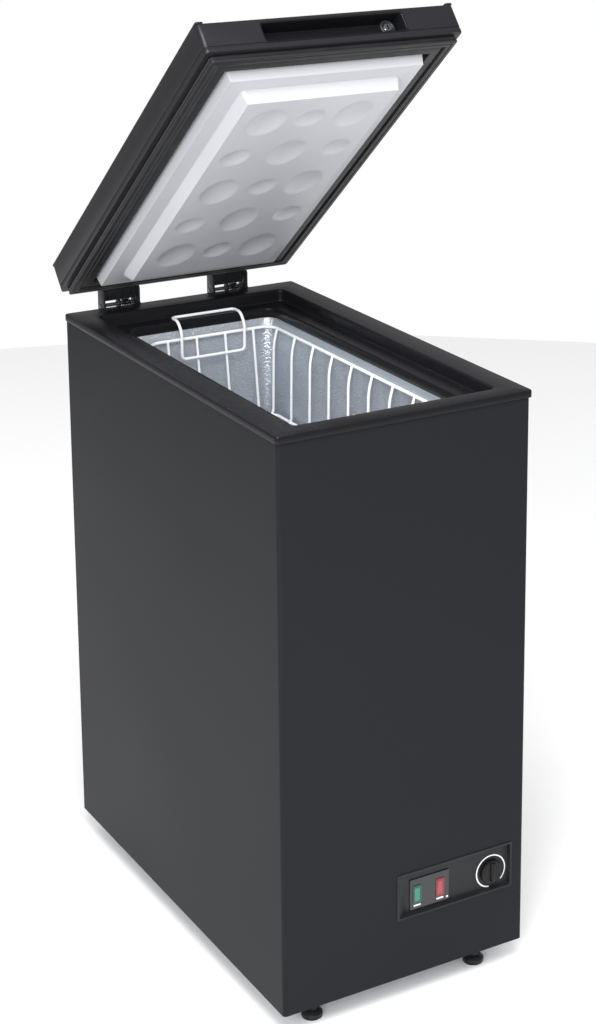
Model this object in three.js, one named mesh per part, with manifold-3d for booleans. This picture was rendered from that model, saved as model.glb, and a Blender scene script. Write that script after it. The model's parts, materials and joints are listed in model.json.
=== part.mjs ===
// A slim chest freezer: an insulated cabinet on levelling feet, a hinged lid with a lock, a wire basket,
// a control panel low on the front, and the cooling circuit behind a rear grille.
// Units are millimetres, +Z is up, the front faces -Y and the origin is on the floor.
import * as THREE from "three";
import { mergeVertices } from "three/addons/utils/BufferGeometryUtils.js";
import Module from "manifold-3d";

const wasm = await Module();
wasm.setup();

// ---- driving dimensions --------------------------------------------------------------------------------
const GAP = 0.3;
const FOOT_HEIGHT = 33;
const RIM_WIDTH = 370;
const RIM_DEPTH = 646;
const RIM_TOP = 778;
const RIM_LIP = 10;
const OVERHANG = 2.5;
const SHEET = 1;
const BODY_HALF = RIM_WIDTH / 2 - OVERHANG;
const BODY_FRONT = OVERHANG;
const BODY_BACK = RIM_DEPTH - OVERHANG;
const WALL = 2.5;
const LEDGE_TOP = 760;
const COLLAR_FOOT = 746;
const LINER_LIP = 9;
const LINER_FLOOR = 62;
const STEP_TOP = 265;
const STEP_FRONT = 396;
const BAY_FRONT = 452;
const BAY_TOP = 207;
const PIVOT = { y: 674, z: 773 };
const LID_ANGLE = THREE.MathUtils.degToRad(40);
const LID_HALF = 184.4;
const LID_BACK = 640.5;
const LID_LENGTH = 637;
const LID_FRONT = LID_BACK - LID_LENGTH;
const LID_BASE = RIM_TOP + 10;
const LID_THICK = 44.8;
const LID_RAIL = 2.5;
const LID_TOP = LID_BASE + LID_THICK;
const GASKET_THICK = 9.4;
const HINGE_X = 88.5;
const HINGE_HALF = 29;
const LEVEL_ONE = RIM_TOP - 7;
const LEVEL_TWO = RIM_TOP - 24;
const BASKET = { x: 11.3, halfWidth: 101, front: 71.5, back: 574, rail: 735, depth: 133 };
const WIRE = 1.9;
const RAIL_WIRE = 2.5;
const HANDLE_WIRE = 2.2;
const WIRE_SIDES = 6;
const ROUND = 16;
const BEND_STEPS = 3;

// Rounded rectangles, as low and high corners with a corner radius.
const RIM_OUTER = { x: RIM_WIDTH / 2, front: 0, back: RIM_DEPTH, radius: 5 };
const UPPER_MOUTH = { x: 147.5, front: 31, back: 607, radius: 9 };
const LOWER_MOUTH = { x: 119, front: 60, back: 584, radius: 18 };
const LINER_INNER = { x: 115.5, front: 63.5, back: 580.5, radius: 20 };

const CONTROL = { x0: -15, x1: 164, z0: 84.5, z1: 150, depth: 6, flange: 1.2 };
const LAMP_PLATE = { x0: 8, x1: 68, z0: 91.2, z1: 134.7 };
const LAMP = { width: 13, height: 26, z: 112.5, green: 18.8, red: 54 };
const KNOB = { x: 134.8, z: 111.4, radius: 17, height: 8.2 };
const HANDLE = { x0: -98, x1: 104, z0: LID_BASE + 9.5, z1: LID_BASE + 35.5, depth: 24 };
const LOCK = { x: 82, z: LID_BASE + 20, radius: 11 };
const COMPRESSOR = { x: -35, y: 548, radius: 62, base: 32, height: 150 };

// ---- materials -----------------------------------------------------------------------------------------
const FINISH = {
  paint: { color: 0x2b2c30, roughness: 0.45, metalness: 0.3 },
  gloss: { color: 0x1c1d20, roughness: 0.22, metalness: 0 },
  black: { color: 0x151517, roughness: 0.5, metalness: 0 },
  white: { color: 0xdfe0e4, roughness: 0.45, metalness: 0 },
  foam: { color: 0xd9c98f, roughness: 0.95, metalness: 0 },
  aluminium: { color: 0xc3c6c9, roughness: 0.4, metalness: 0.9 },
  zinc: { color: 0x9a9da0, roughness: 0.35, metalness: 0.9 },
  copper: { color: 0xb56a3e, roughness: 0.35, metalness: 1 },
  rubber: { color: 0x101011, roughness: 0.75, metalness: 0 },
  wire: { color: 0xf1f2f4, roughness: 0.3, metalness: 0 },
  green: { color: 0x1f9a63, roughness: 0.25, metalness: 0 },
  red: { color: 0xc9343a, roughness: 0.25, metalness: 0 },
};

// ---- solids --------------------------------------------------------------------------------------------
function solidOf(geometry) {
  const bare = geometry.clone();
  bare.deleteAttribute("normal");
  bare.deleteAttribute("uv");
  const merged = mergeVertices(bare, 1e-4);
  const vertProperties = new Float32Array(merged.attributes.position.array);
  const triVerts = new Uint32Array(merged.index.array);
  return new wasm.Manifold(new wasm.Mesh({ numProp: 3, vertProperties, triVerts }));
}

function geometryOf(solid) {
  const mesh = solid.getMesh();
  const geometry = new THREE.BufferGeometry();
  geometry.setAttribute("position", new THREE.BufferAttribute(mesh.vertProperties, 3));
  geometry.setIndex(new THREE.BufferAttribute(mesh.triVerts, 1));
  geometry.computeVertexNormals();
  return geometry;
}

function box(x0, x1, y0, y1, z0, z1) {
  const geometry = new THREE.BoxGeometry(x1 - x0, y1 - y0, z1 - z0);
  geometry.translate((x0 + x1) / 2, (y0 + y1) / 2, (z0 + z1) / 2);
  return solidOf(geometry);
}

function cylinder(radius, length, axis, at, sides = ROUND) {
  const geometry = new THREE.CylinderGeometry(radius, radius, length, sides);
  if (axis === "x") geometry.rotateZ(Math.PI / 2);
  if (axis === "z") geometry.rotateX(Math.PI / 2);
  geometry.translate(...at);
  return solidOf(geometry);
}

// The loop of a rounded rectangle grown by `grow`, counter-clockwise seen from above.
function loopOf(rect, grow = 0, arc = 4) {
  const radius = Math.max(rect.radius + grow, 0.8);
  const centre = rect.centre ?? 0;
  const [x0, x1] = [centre - rect.x - grow, centre + rect.x + grow];
  const [y0, y1] = [rect.front - grow, rect.back + grow];
  const corners = [
    [x1 - radius, y0 + radius, -Math.PI / 2],
    [x1 - radius, y1 - radius, 0],
    [x0 + radius, y1 - radius, Math.PI / 2],
    [x0 + radius, y0 + radius, Math.PI],
  ];
  return corners.flatMap(([x, y, start]) =>
    Array.from({ length: arc + 1 }, (_, i) => {
      const turn = start + (i / arc) * (Math.PI / 2);
      return [x + radius * Math.cos(turn), y + radius * Math.sin(turn)];
    }),
  );
}

// A closed solid through convex loops of equal point counts, given from the lowest to the highest.
function stackGeometry(layers) {
  const count = layers[0].loop.length;
  const points = layers.flatMap(({ loop, z }) => loop.map(([x, y]) => [x, y, z]));
  const faces = [];
  for (let layer = 0; layer + 1 < layers.length; layer += 1) {
    for (let i = 0; i < count; i += 1) {
      const [a, b] = [layer * count + i, layer * count + ((i + 1) % count)];
      faces.push([a, b, b + count], [a, b + count, a + count]);
    }
  }
  const top = (layers.length - 1) * count;
  for (let i = 1; i + 1 < count; i += 1) {
    faces.push([0, i + 1, i], [top, top + i, top + i + 1]);
  }
  const geometry = new THREE.BufferGeometry();
  geometry.setAttribute("position", new THREE.Float32BufferAttribute(points.flat(), 3));
  geometry.setIndex(faces.flat());
  return geometry;
}

function stack(layers) {
  return solidOf(stackGeometry(layers));
}

// The same with each layer upright and facing the front, given from the deepest to the foremost.
function stackFacing(layers) {
  const upright = layers.map(({ x0, x1, z0, z1, y, radius = 1 }) => {
    const rect = { centre: (x0 + x1) / 2, x: (x1 - x0) / 2, front: z0, back: z1, radius };
    return { loop: loopOf(rect, 0, 3), z: -y };
  });
  return solidOf(stackGeometry(upright).rotateX(Math.PI / 2));
}

function prism(rect, grow, z0, z1) {
  const loop = loopOf(rect, grow);
  return stack([{ loop, z: z0 }, { loop, z: z1 }]);
}

// A flat outline of [y, z] points, carried from x0 to x1.
function plateAcross(outline, x0, x1) {
  const shape = new THREE.Shape(outline.map(([y, z]) => new THREE.Vector2(y, z)));
  const geometry = new THREE.ExtrudeGeometry(shape, { depth: x1 - x0, bevelEnabled: false });
  geometry.applyMatrix4(new THREE.Matrix4().set(0, 0, 1, x0, 1, 0, 0, 0, 0, 1, 0, 0, 0, 0, 0, 1));
  return solidOf(geometry);
}

function circleShape(radius, sides) {
  const points = Array.from({ length: sides }, (_, i) => {
    const turn = ((i + 0.5) / sides) * 2 * Math.PI;
    return new THREE.Vector2(radius * Math.cos(turn), radius * Math.sin(turn));
  });
  return new THREE.Shape(points);
}

// A centre line that ExtrudeGeometry steps along point by point, so that straight runs stay one step long.
class Route extends THREE.Curve {
  constructor(points) {
    super();
    this.points = points;
  }

  getPoint(t, target = new THREE.Vector3()) {
    const place = t * (this.points.length - 1);
    const before = Math.min(Math.floor(place + 1e-6), this.points.length - 2);
    return target.lerpVectors(this.points[before], this.points[before + 1], place - before);
  }

  getPointAt(u, target) {
    return this.getPoint(u, target);
  }

  getTangentAt(u, target = new THREE.Vector3()) {
    const { points } = this;
    const at = Math.round(u * (points.length - 1));
    const way = (from, to) => points[to].clone().sub(points[from]).normalize();
    target.set(0, 0, 0);
    if (at > 0) target.add(way(at - 1, at));
    if (at + 1 < points.length) target.add(way(at, at + 1));
    return target.normalize();
  }
}

// The points of a path whose corners are rounded: each bend is a quadratic curve of three steps.
function bentPoints(corners, bend) {
  const at = corners.map((p) => new THREE.Vector3(...p));
  const points = [at[0]];
  for (let i = 1; i + 1 < at.length; i += 1) {
    const towards = (other) => {
      const way = other.clone().sub(at[i]);
      return at[i].clone().addScaledVector(way.clone().normalize(), Math.min(bend, way.length() * 0.45));
    };
    const curve = new THREE.QuadraticBezierCurve3(towards(at[i - 1]), at[i], towards(at[i + 1]));
    points.push(...curve.getPoints(BEND_STEPS));
  }
  return [...points, at.at(-1)];
}

function wireAlong(points, radius, sides = WIRE_SIDES) {
  const settings = { steps: points.length - 1, bevelEnabled: false, extrudePath: new Route(points) };
  return solidOf(new THREE.ExtrudeGeometry(circleShape(radius, sides), settings));
}

function bentWire(corners, radius, bend, sides) {
  return wireAlong(bentPoints(corners, bend), radius, sides);
}

function joined(solids) {
  return solids.reduce((whole, next) => whole.add(next));
}

function cut(solid, ...tools) {
  return tools.reduce((left, tool) => left.subtract(tool), solid);
}

function part(name, finish, shape, position = [0, 0, 0]) {
  const geometry = shape.isBufferGeometry ? shape : geometryOf(shape);
  const mesh = new THREE.Mesh(geometry, new THREE.MeshStandardMaterial(FINISH[finish]));
  mesh.name = name;
  mesh.position.set(...position);
  return mesh;
}

// ---- cabinet -------------------------------------------------------------------------------------------
const BODY_OUTER = { x: BODY_HALF, front: BODY_FRONT, back: BODY_BACK, radius: 5 };
const WRAPPER_TOP = RIM_TOP - 3 - GAP;

function outerWrapper() {
  const long = { ...BODY_OUTER, back: RIM_DEPTH + 20 };
  const open = prism(long, -SHEET, -1, WRAPPER_TOP + 1);
  const noBack = box(-200, 200, BODY_BACK - SHEET - GAP, RIM_DEPTH + 30, -1, WRAPPER_TOP + 1);
  const { x0, x1, z0, z1 } = CONTROL;
  const window = box(x0 + 2, x1 - 2, BODY_FRONT - 1, BODY_FRONT + 3, z0 + 2, z1 - 2);
  return part("outer_wrapper", "paint", cut(prism(long, 0, 0, WRAPPER_TOP), open, noBack, window));
}

const GRILLE = { half: 118, z0: 34, z1: 186, frame: 12, slot: 3.8, pitch: 11 };
const GLAND = { x: 148, z: 60, radius: 9 };

function rearPanel() {
  const [y0, y1] = [BODY_BACK - SHEET, BODY_BACK];
  const sheet = box(-BODY_HALF, BODY_HALF, y0, y1, 0, RIM_TOP - RIM_LIP - GAP);
  const vent = box(-GRILLE.half, GRILLE.half, y0 - 1, y1 + 1, GRILLE.z0, GRILLE.z1);
  const inlet = cylinder(GLAND.radius, 6, "y", [GLAND.x, y0, GLAND.z]);
  return part("rear_panel", "paint", cut(sheet, vent, inlet));
}

function rearGrille() {
  const { half, z0, z1, frame, slot, pitch } = GRILLE;
  const [y0, y1] = [BODY_BACK + GAP, BODY_BACK + 2.3];
  const slots = [];
  for (let z = z0 + 6; z < z1 - 8; z += pitch) {
    slots.push(box(-half + 4, -3, y0 - 1, y1 + 1, z, z + slot));
    slots.push(box(3, half - 4, y0 - 1, y1 + 1, z, z + slot));
  }
  const plate = box(-half - frame, half + frame, y0, y1, z0 - frame, z1 + frame);
  return part("rear_grille", "black", cut(plate, ...slots));
}

function cordGland() {
  const flange = cylinder(GLAND.radius + 3, 3, "y", [GLAND.x, BODY_BACK + GAP + 1.5, GLAND.z]);
  const neck = cylinder(GLAND.radius - GAP, 8, "y", [GLAND.x, BODY_BACK - 2, GLAND.z]);
  const hole = cylinder(3.6, 30, "y", [GLAND.x, BODY_BACK, GLAND.z]);
  return part("cord_gland", "rubber", cut(joined([flange, neck]), hole));
}

const FOOT = { x: 125, front: 34, back: 606, radius: 14 };
const FEET = {
  foot_front_left: [-FOOT.x, FOOT.front],
  foot_front_right: [FOOT.x, FOOT.front],
  foot_back_left: [-FOOT.x, FOOT.back],
  foot_back_right: [FOOT.x, FOOT.back],
};

function basePan() {
  const inner = BODY_HALF - SHEET - GAP;
  const [y0, y1] = [BODY_FRONT + SHEET + GAP, BODY_BACK - SHEET - GAP];
  const tray = box(-inner, inner, y0, y1, GAP, 2.5);
  const front = box(-inner, inner, y0, y0 + 1.5, GAP, 14);
  const back = box(-inner, inner, y1 - 1.5, y1, GAP, 14);
  const holes = Object.values(FEET).map(([x, y]) => cylinder(4.5, 20, "z", [x, y, 0]));
  const within = prism({ ...BODY_OUTER, back: RIM_DEPTH + 20 }, -SHEET - GAP, 0, 20);
  return part("base_pan", "zinc", cut(joined([tray, front, back]).intersect(within), ...holes));
}

function levellingFoot(name, [x, y]) {
  const pad = stack([
    { loop: ring(FOOT.radius, 1.5), z: 0 },
    { loop: ring(FOOT.radius, 0), z: 1.5 },
    { loop: ring(FOOT.radius, 0), z: 7 },
    { loop: ring(FOOT.radius, 5), z: 10 },
  ]);
  const nut = cylinder(8, 6, "z", [0, 0, 13], 6);
  const stud = cylinder(4, 36, "z", [0, 0, 26], 12);
  return part(name, "black", joined([pad, nut, stud]), [x, y, -FOOT_HEIGHT]);
}

function ring(radius, inset, sides = ROUND) {
  return circleShape(radius - inset, sides)
    .getPoints()
    .slice(0, sides)
    .map((p) => [p.x, p.y]);
}

function rimCollar() {
  const plate = prism(RIM_OUTER, 0, RIM_TOP - 3, RIM_TOP);
  const lip = cut(
    prism(RIM_OUTER, 0, RIM_TOP - RIM_LIP, RIM_TOP - 2),
    prism({ ...RIM_OUTER, radius: 3.2 }, -2.2, RIM_TOP - RIM_LIP - 1, RIM_TOP - 3),
  );
  const upper = prism(UPPER_MOUTH, WALL, LEDGE_TOP - 3, RIM_TOP - 2);
  const lower = prism(LOWER_MOUTH, WALL, COLLAR_FOOT, LEDGE_TOP - 2);
  const ledge = prism(UPPER_MOUTH, 0, LEDGE_TOP, RIM_TOP + 1);
  const mouth = prism(LOWER_MOUTH, 0, COLLAR_FOOT - 1, LEDGE_TOP + 1);
  return part("rim_collar", "gloss", cut(joined([plate, lip, upper, lower]), ledge, mouth));
}

// The tub's lip slopes in from the collar's foot to the straight wall. The floor steps up over the bay.
function tub(grow, mouthTop, floor, stepTop) {
  const mouthLoop = loopOf(LOWER_MOUTH, -GAP + grow);
  const wallLoop = loopOf(LINER_INNER, grow);
  const lipFoot = COLLAR_FOOT - GAP - LINER_LIP;
  const upper = stack([
    { loop: wallLoop, z: stepTop },
    { loop: wallLoop, z: lipFoot },
    { loop: mouthLoop, z: COLLAR_FOOT - GAP },
    { loop: mouthLoop, z: mouthTop },
  ]);
  const low = { ...LINER_INNER, back: STEP_FRONT };
  return upper.add(prism(low, grow, floor, stepTop + 20));
}

function liner() {
  const top = COLLAR_FOOT - GAP;
  const shell = tub(SHEET, top + 0.5, LINER_FLOOR, STEP_TOP);
  const trimmed = shell.intersect(box(-200, 200, 0, RIM_DEPTH, 0, top));
  return part("liner", "aluminium", cut(trimmed, tub(0, top + 5, LINER_FLOOR + SHEET, STEP_TOP + SHEET)));
}

const COIL_ZONE = { z0: 370, z1: 700, clear: 10 };
const SKIN_ZONE = { y0: 60, y1: 590, z0: 230, z1: 720, clear: 7 };

function foamBody() {
  const side = BODY_HALF - SHEET - GAP;
  const [front, back] = [BODY_FRONT + SHEET + GAP, BODY_BACK - SHEET - GAP];
  const block = prism({ x: side, front, back, radius: 4 }, 0, 2.8, RIM_TOP - 3 - GAP);
  const upper = prism(UPPER_MOUTH, WALL + GAP, LEDGE_TOP - 3 - GAP, RIM_TOP);
  const lower = prism(LOWER_MOUTH, WALL + GAP, COLLAR_FOOT - 2 * GAP, LEDGE_TOP);
  const room = tub(SHEET + GAP, COLLAR_FOOT, LINER_FLOOR - GAP, STEP_TOP - GAP);
  const coilRoom = prism(LINER_INNER, SHEET + COIL_ZONE.clear, COIL_ZONE.z0, COIL_ZONE.z1);
  const bay = box(-200, 200, BAY_FRONT, RIM_DEPTH, -1, BAY_TOP);
  const { y0, y1, z0, z1, clear } = SKIN_ZONE;
  const skinRoom = box(side - clear, 200, y0, y1, z0, z1);
  const control = controlRoom(CONTROL_BOX.grow + GAP);
  const sill = box(-200, 200, 0, front + 1.8, 0, 14 + GAP);
  const studs = [-FOOT.x, FOOT.x].map((x) => cylinder(4.5, 20, "z", [x, FOOT.front, 4]));
  const hollows = [upper, lower, room, coilRoom, bay, skinRoom, control, sill, ...studs];
  return part("foam_body", "foam", cut(block, ...hollows));
}

function bayLining() {
  const half = BODY_HALF - SHEET - 2 * GAP;
  const back = BODY_BACK - SHEET - 2 * GAP;
  const y = BAY_FRONT + GAP;
  const z = BAY_TOP - GAP;
  const outline = [
    [y, 2.8],
    [y + SHEET, 2.8],
    [y + SHEET, z - SHEET],
    [back, z - SHEET],
    [back, z],
    [y, z],
  ];
  return part("bay_lining", "zinc", plateAcross(outline, -half, half));
}

// The evaporator goes round the tub in level turns, joined by risers behind it.
function evaporatorCoil() {
  const off = SHEET + 4.6;
  const [x, front, back] = [LINER_INNER.x + off, LINER_INNER.front - off, LINER_INNER.back + off];
  const levels = [670, 580, 490, 400];
  const corners = levels.flatMap((z, turn) => {
    const start = turn % 2 ? 12 : -12;
    const side = turn % 2 ? x : -x;
    return [
      [start, back, z],
      [side, back, z],
      [side, front, z],
      [-side, front, z],
      [-side, back, z],
      [-start, back, z],
    ];
  });
  return part("evaporator_coil", "copper", bentWire(corners, 3.5, 28.5));
}

// The condenser is a serpentine held against the right-hand skin.
function condenserCoil() {
  const x = BODY_HALF - SHEET - 3.6;
  const [near, far] = [SKIN_ZONE.y0 + 20, SKIN_ZONE.y1 - 20];
  const corners = [];
  for (let run = 0; run < 8; run += 1) {
    const z = SKIN_ZONE.z1 - 30 - run * 56;
    corners.push(...(run % 2 ? [[x, far, z], [x, near, z]] : [[x, near, z], [x, far, z]]));
  }
  return part("condenser_coil", "copper", bentWire(corners, 2.5, 22));
}

// ---- machine bay ---------------------------------------------------------------------------------------
const RAIL = { y: [COMPRESSOR.y - 62, COMPRESSOR.y + 50], z: 14, width: 24 };

function compressorShell() {
  const { radius, base, height } = COMPRESSOR;
  const [low, high] = [base, base + height];
  const profile = [
    [0, low],
    [radius * 0.62, low],
    [radius * 0.92, low + 10],
    [radius, low + 26],
    [radius, low + 66],
    [radius + 3, low + 68],
    [radius + 3, low + 74],
    [radius, low + 76],
    [radius, high - 30],
    [radius * 0.9, high - 12],
    [radius * 0.6, high - 2],
    [0, high],
  ];
  const lathe = new THREE.LatheGeometry(profile.map(([r, z]) => new THREE.Vector2(r, z)), 24);
  return part("compressor", "black", solidOf(lathe.rotateX(Math.PI / 2)), [COMPRESSOR.x, COMPRESSOR.y, 0]);
}

function mountingRails() {
  const half = BODY_HALF - SHEET - 2 * GAP - SHEET;
  const [z0, z1] = [RAIL.z, RAIL.z + 2];
  const plates = RAIL.y.map((y) => box(-half, half, y - RAIL.width / 2, y + RAIL.width / 2, z0, z1));
  const tie = box(COMPRESSOR.x - 70, COMPRESSOR.x + 70, RAIL.y[0], RAIL.y[1], z0, z1);
  const feet = RAIL.y.flatMap((y) => [-1, 1].map((side) => {
    const edge = side * (half - 8);
    return box(edge - 8, edge + 8, y - RAIL.width / 2, y + RAIL.width / 2, 2.8, z0 + 1);
  }));
  return part("compressor_rails", "zinc", joined([...plates, tie, ...feet]));
}

function compressorCradle() {
  const { x, y, base } = COMPRESSOR;
  const plate = prism({ centre: x, x: 62, front: y - 74, back: y + 62, radius: 8 }, 0, base - 4, base - 1.5);
  return part("compressor_cradle", "zinc", plate);
}

function grommet(name, side, y) {
  const low = RAIL.z + 2 + GAP;
  const high = COMPRESSOR.base - 4 - GAP;
  const at = [COMPRESSOR.x + side * 48, y, 0];
  const profile = [
    [0, low],
    [9, low],
    [9, low + 3],
    [6.5, (low + high) / 2],
    [9, high - 3],
    [9, high],
    [0, high],
  ];
  const lathe = new THREE.LatheGeometry(profile.map(([r, z]) => new THREE.Vector2(r, z)), 12);
  return part(name, "rubber", solidOf(lathe.rotateX(Math.PI / 2)), at);
}

function relayCover() {
  const x = COMPRESSOR.x + COMPRESSOR.radius + 3 + GAP;
  const z = COMPRESSOR.base + 36;
  const cover = prism({ centre: x + 17, x: 17, front: 522, back: 574, radius: 5 }, 0, z, z + 62);
  return part("relay_cover", "black", cover);
}

function filterDrier() {
  const profile = [
    [0, 60],
    [3, 60],
    [3, 68],
    [9, 76],
    [9, 146],
    [3, 154],
    [3, 162],
    [0, 162],
  ];
  const lathe = new THREE.LatheGeometry(profile.map(([r, z]) => new THREE.Vector2(r, z)), 14);
  return part("filter_drier", "copper", solidOf(lathe.rotateX(Math.PI / 2)), [130, 500, 0]);
}

function dischargeTube() {
  const { x, y, radius, base } = COMPRESSOR;
  const start = x + radius + 1;
  const corners = [
    [start, y - 34, base + 100],
    [start + 22, y - 34, base + 100],
    [start + 22, y - 64, base + 100],
    [130, y - 64, base + 100],
    [130, y - 64, 185],
    [130, 500, 185],
    [130, 500, 162 + GAP],
  ];
  return part("discharge_tube", "copper", bentWire(corners, 2.5, 10));
}

function suctionTube() {
  const { x, y, radius, base } = COMPRESSOR;
  const start = x - radius - 1;
  const corners = [
    [start, y, base + 104],
    [start - 26, y, base + 104],
    [start - 26, y, base + 158],
    [start - 26, BAY_FRONT + 12, base + 158],
  ];
  return part("suction_tube", "copper", bentWire(corners, 3.5, 14));
}

// ---- control panel -------------------------------------------------------------------------------------
const CONTROL_BOX = { grow: 0, back: 50, wall: 1.5 };
const PANEL_FACE = BODY_FRONT + CONTROL.depth;
const PANEL_BACK = PANEL_FACE + 2;

function controlRoom(grow) {
  const { x0, x1, z0, z1 } = CONTROL;
  return box(x0 + 2 - grow, x1 - 2 + grow, 0, CONTROL_BOX.back + grow, z0 + 2 - grow, z1 - 2 + grow);
}

function lampHole(x, grow) {
  const [w, h] = [LAMP.width / 2 + grow, LAMP.height / 2 + grow];
  return box(x - w, x + w, 0, PANEL_BACK + 4, LAMP.z - h, LAMP.z + h);
}

function controlBezel() {
  const { x0, x1, z0, z1, flange } = CONTROL;
  const front = BODY_FRONT - flange;
  const rim = { x0, x1, z0, z1, radius: 2 };
  const plate = stackFacing([{ ...rim, y: BODY_FRONT - GAP }, { ...rim, y: front }]);
  const inset = { x0: x0 + 2.3, x1: x1 - 2.3, z0: z0 + 2.3, z1: z1 - 2.3, radius: 2 };
  const pod = stackFacing([{ ...inset, y: PANEL_BACK }, { ...inset, y: BODY_FRONT - GAP - 0.2 }]);
  const mouth = { x0: x0 + 3, x1: x1 - 3, z0: z0 + 3, z1: z1 - 3, y: front - GAP, radius: 1.5 };
  const floor = { x0: x0 + 17, x1: x1 - 4, z0: z0 + 3.6, z1: z1 - 4, y: PANEL_FACE, radius: 1.5 };
  const shaft = cylinder(4.4, 20, "y", [KNOB.x, PANEL_FACE, KNOB.z]);
  const holes = [LAMP.green, LAMP.red].map((x) => lampHole(x, GAP));
  const body = joined([plate, pod]);
  return part("control_bezel", "black", cut(body, stackFacing([floor, mouth]), shaft, ...holes));
}

function lampPlate() {
  const { x0, x1, z0, z1 } = LAMP_PLATE;
  const plate = box(x0, x1, PANEL_FACE - 1.5, PANEL_FACE - GAP, z0, z1);
  const holes = [LAMP.green, LAMP.red].map((x) => lampHole(x, GAP));
  return part("lamp_plate", "gloss", cut(plate, ...holes));
}

function lamp(name, finish, x) {
  const [w, h] = [LAMP.width / 2, LAMP.height / 2];
  const body = box(x - w, x + w, PANEL_FACE - 3, PANEL_BACK + 2.5, LAMP.z - h, LAMP.z + h);
  return part(name, finish, body);
}

function lampHolder() {
  const [z0, z1] = [LAMP.z - 15, LAMP.z + 15];
  const body = box(LAMP.green - 9, LAMP.red + 9, PANEL_BACK + 2.5 + GAP, PANEL_BACK + 18, z0, z1);
  return part("lamp_holder", "black", body);
}

function controlBox() {
  const { wall, back } = CONTROL_BOX;
  const { x0, x1, z0, z1 } = CONTROL;
  const outer = box(x0 + 2.3, x1 - 2.3, PANEL_BACK + GAP, back, z0 + 2.3, z1 - 2.3);
  const inner = box(x0 + 2.3 + wall, x1 - 2.3 - wall, 0, back - wall, z0 + 2.3 + wall, z1 - 2.3 - wall);
  return part("control_box", "black", cut(outer, inner));
}

function thermostatBody() {
  const body = box(KNOB.x - 17, KNOB.x + 17, PANEL_BACK + 2, PANEL_BACK + 30, KNOB.z - 20, KNOB.z + 20);
  const bush = cylinder(4, 5, "y", [KNOB.x, PANEL_BACK, KNOB.z], 12);
  const bore = cylinder(3.2, 40, "y", [KNOB.x, PANEL_BACK - 10, KNOB.z], 12);
  return part("thermostat_body", "white", cut(joined([body, bush]), bore));
}

function thermostatShaft() {
  return part("thermostat_shaft", "zinc", cylinder(2.8, 14, "y", [KNOB.x, PANEL_BACK + 0.8, KNOB.z], 12));
}

function temperatureKnob() {
  const { x, z, radius, height } = KNOB;
  const back = PANEL_FACE - 1;
  const skirt = cylinder(radius, 4, "y", [x, back - 2, z], 28);
  const grip = box(x - 3.2, x + 3.2, PANEL_FACE - height, back - 3, z - radius + 2, z + radius - 2);
  const bore = cylinder(3.1, 6, "y", [x, back - 1, z], 12);
  return part("temperature_knob", "black", cut(joined([skirt, grip]), bore));
}

// ---- hinges --------------------------------------------------------------------------------------------
const PIN = { radius: 3, bore: 3.35, barrel: 6.5 };
const EAR = 3;
const SPRING_SIDE = 12.2;

// The bracket is a channel screwed to the rear panel; its two ears rise behind the rim and hold the pin.
function hingeBracket(name, x) {
  const y = BODY_BACK + GAP;
  const ear = [
    [y, 700],
    [y + 3, 696],
    [652, 696],
    [681, 758],
    [681, 797],
    [678, 800],
    [663, 800],
    [660, 797],
    [660, 776],
    [649, 766],
    [y, 766],
  ];
  const ears = [-1, 1].map((side) => {
    const inner = side * (HINGE_HALF - EAR);
    const outer = side * HINGE_HALF;
    return plateAcross(ear, Math.min(inner, outer), Math.max(inner, outer));
  });
  const web = box(-HINGE_HALF, HINGE_HALF, y, y + 3, 696, 766);
  const tabs = box(-HINGE_HALF - 9, HINGE_HALF + 9, y, y + 2.5, 704, 758);
  const bore = cylinder(PIN.radius + GAP, 80, "x", [0, PIVOT.y, PIVOT.z]);
  return part(name, "black", cut(joined([...ears, web, tabs]), bore), [x, 0, 0]);
}

function hingePin(name, x) {
  const shank = cylinder(PIN.radius, 2 * HINGE_HALF + 2, "x", [0, 0, 0]);
  const head = cylinder(PIN.radius + 2, 2, "x", [HINGE_HALF + 1.6, 0, 0]);
  return part(name, "zinc", joined([shank, head]), [x, PIVOT.y, PIVOT.z]);
}

// A torsion spring between the leaf's two knuckles, which carries part of the lid's weight.
function hingeSpring(name, x) {
  const [turns, steps, radius, pitch] = [5, 10, 5.2, 2.5];
  const points = Array.from({ length: turns * steps + 1 }, (_, i) => {
    const turn = (i / steps) * 2 * Math.PI;
    const along = (i / steps - turns / 2) * pitch;
    return new THREE.Vector3(along, radius * Math.cos(turn), radius * Math.sin(turn));
  });
  return part(name, "zinc", wireAlong(points, 0.9, 5), [x + SPRING_SIDE, PIVOT.y, PIVOT.z]);
}

// The leaf is drawn with the lid shut: a windowed plate from the knuckles to a flange behind the lid.
function hingeLeaf(name, x) {
  const half = HINGE_HALF - EAR - 0.6;
  const [y, z] = [PIVOT.y, PIVOT.z];
  const flangeY = LID_BACK + GAP;
  const arm = [
    [flangeY, 812],
    [flangeY, 789],
    [flangeY + 2, 787.5],
    [y - 3, z + 1],
    [y + 1, z + 5],
    [flangeY + 4, 793],
    [flangeY + 4, 812],
  ];
  const plate = plateAcross(arm, -half, half);
  const barrel = cylinder(PIN.barrel, 2 * half, "x", [0, y, z]);
  const recess = [
    [flangeY + 7, 787],
    [y - 8, 779.5],
    [y - 10, 770],
    [flangeY + 5, 778],
  ];
  const windows = [-1, 1].map((side) => {
    const middle = side * (half * 0.48);
    return plateAcross(recess, middle - 9.5, middle + 9.5);
  });
  const rooms = [-1, 1].map((side) => {
    const [from, to] = [2, half - 3];
    return cylinder(PIN.barrel + 1.5, to - from, "x", [(side * (from + to)) / 2, y, z]);
  });
  const bore = cylinder(PIN.bore, 80, "x", [0, y, z]);
  return part(name, "black", cut(joined([plate, barrel]), ...windows, ...rooms, bore), [x, 0, 0]);
}

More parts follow.
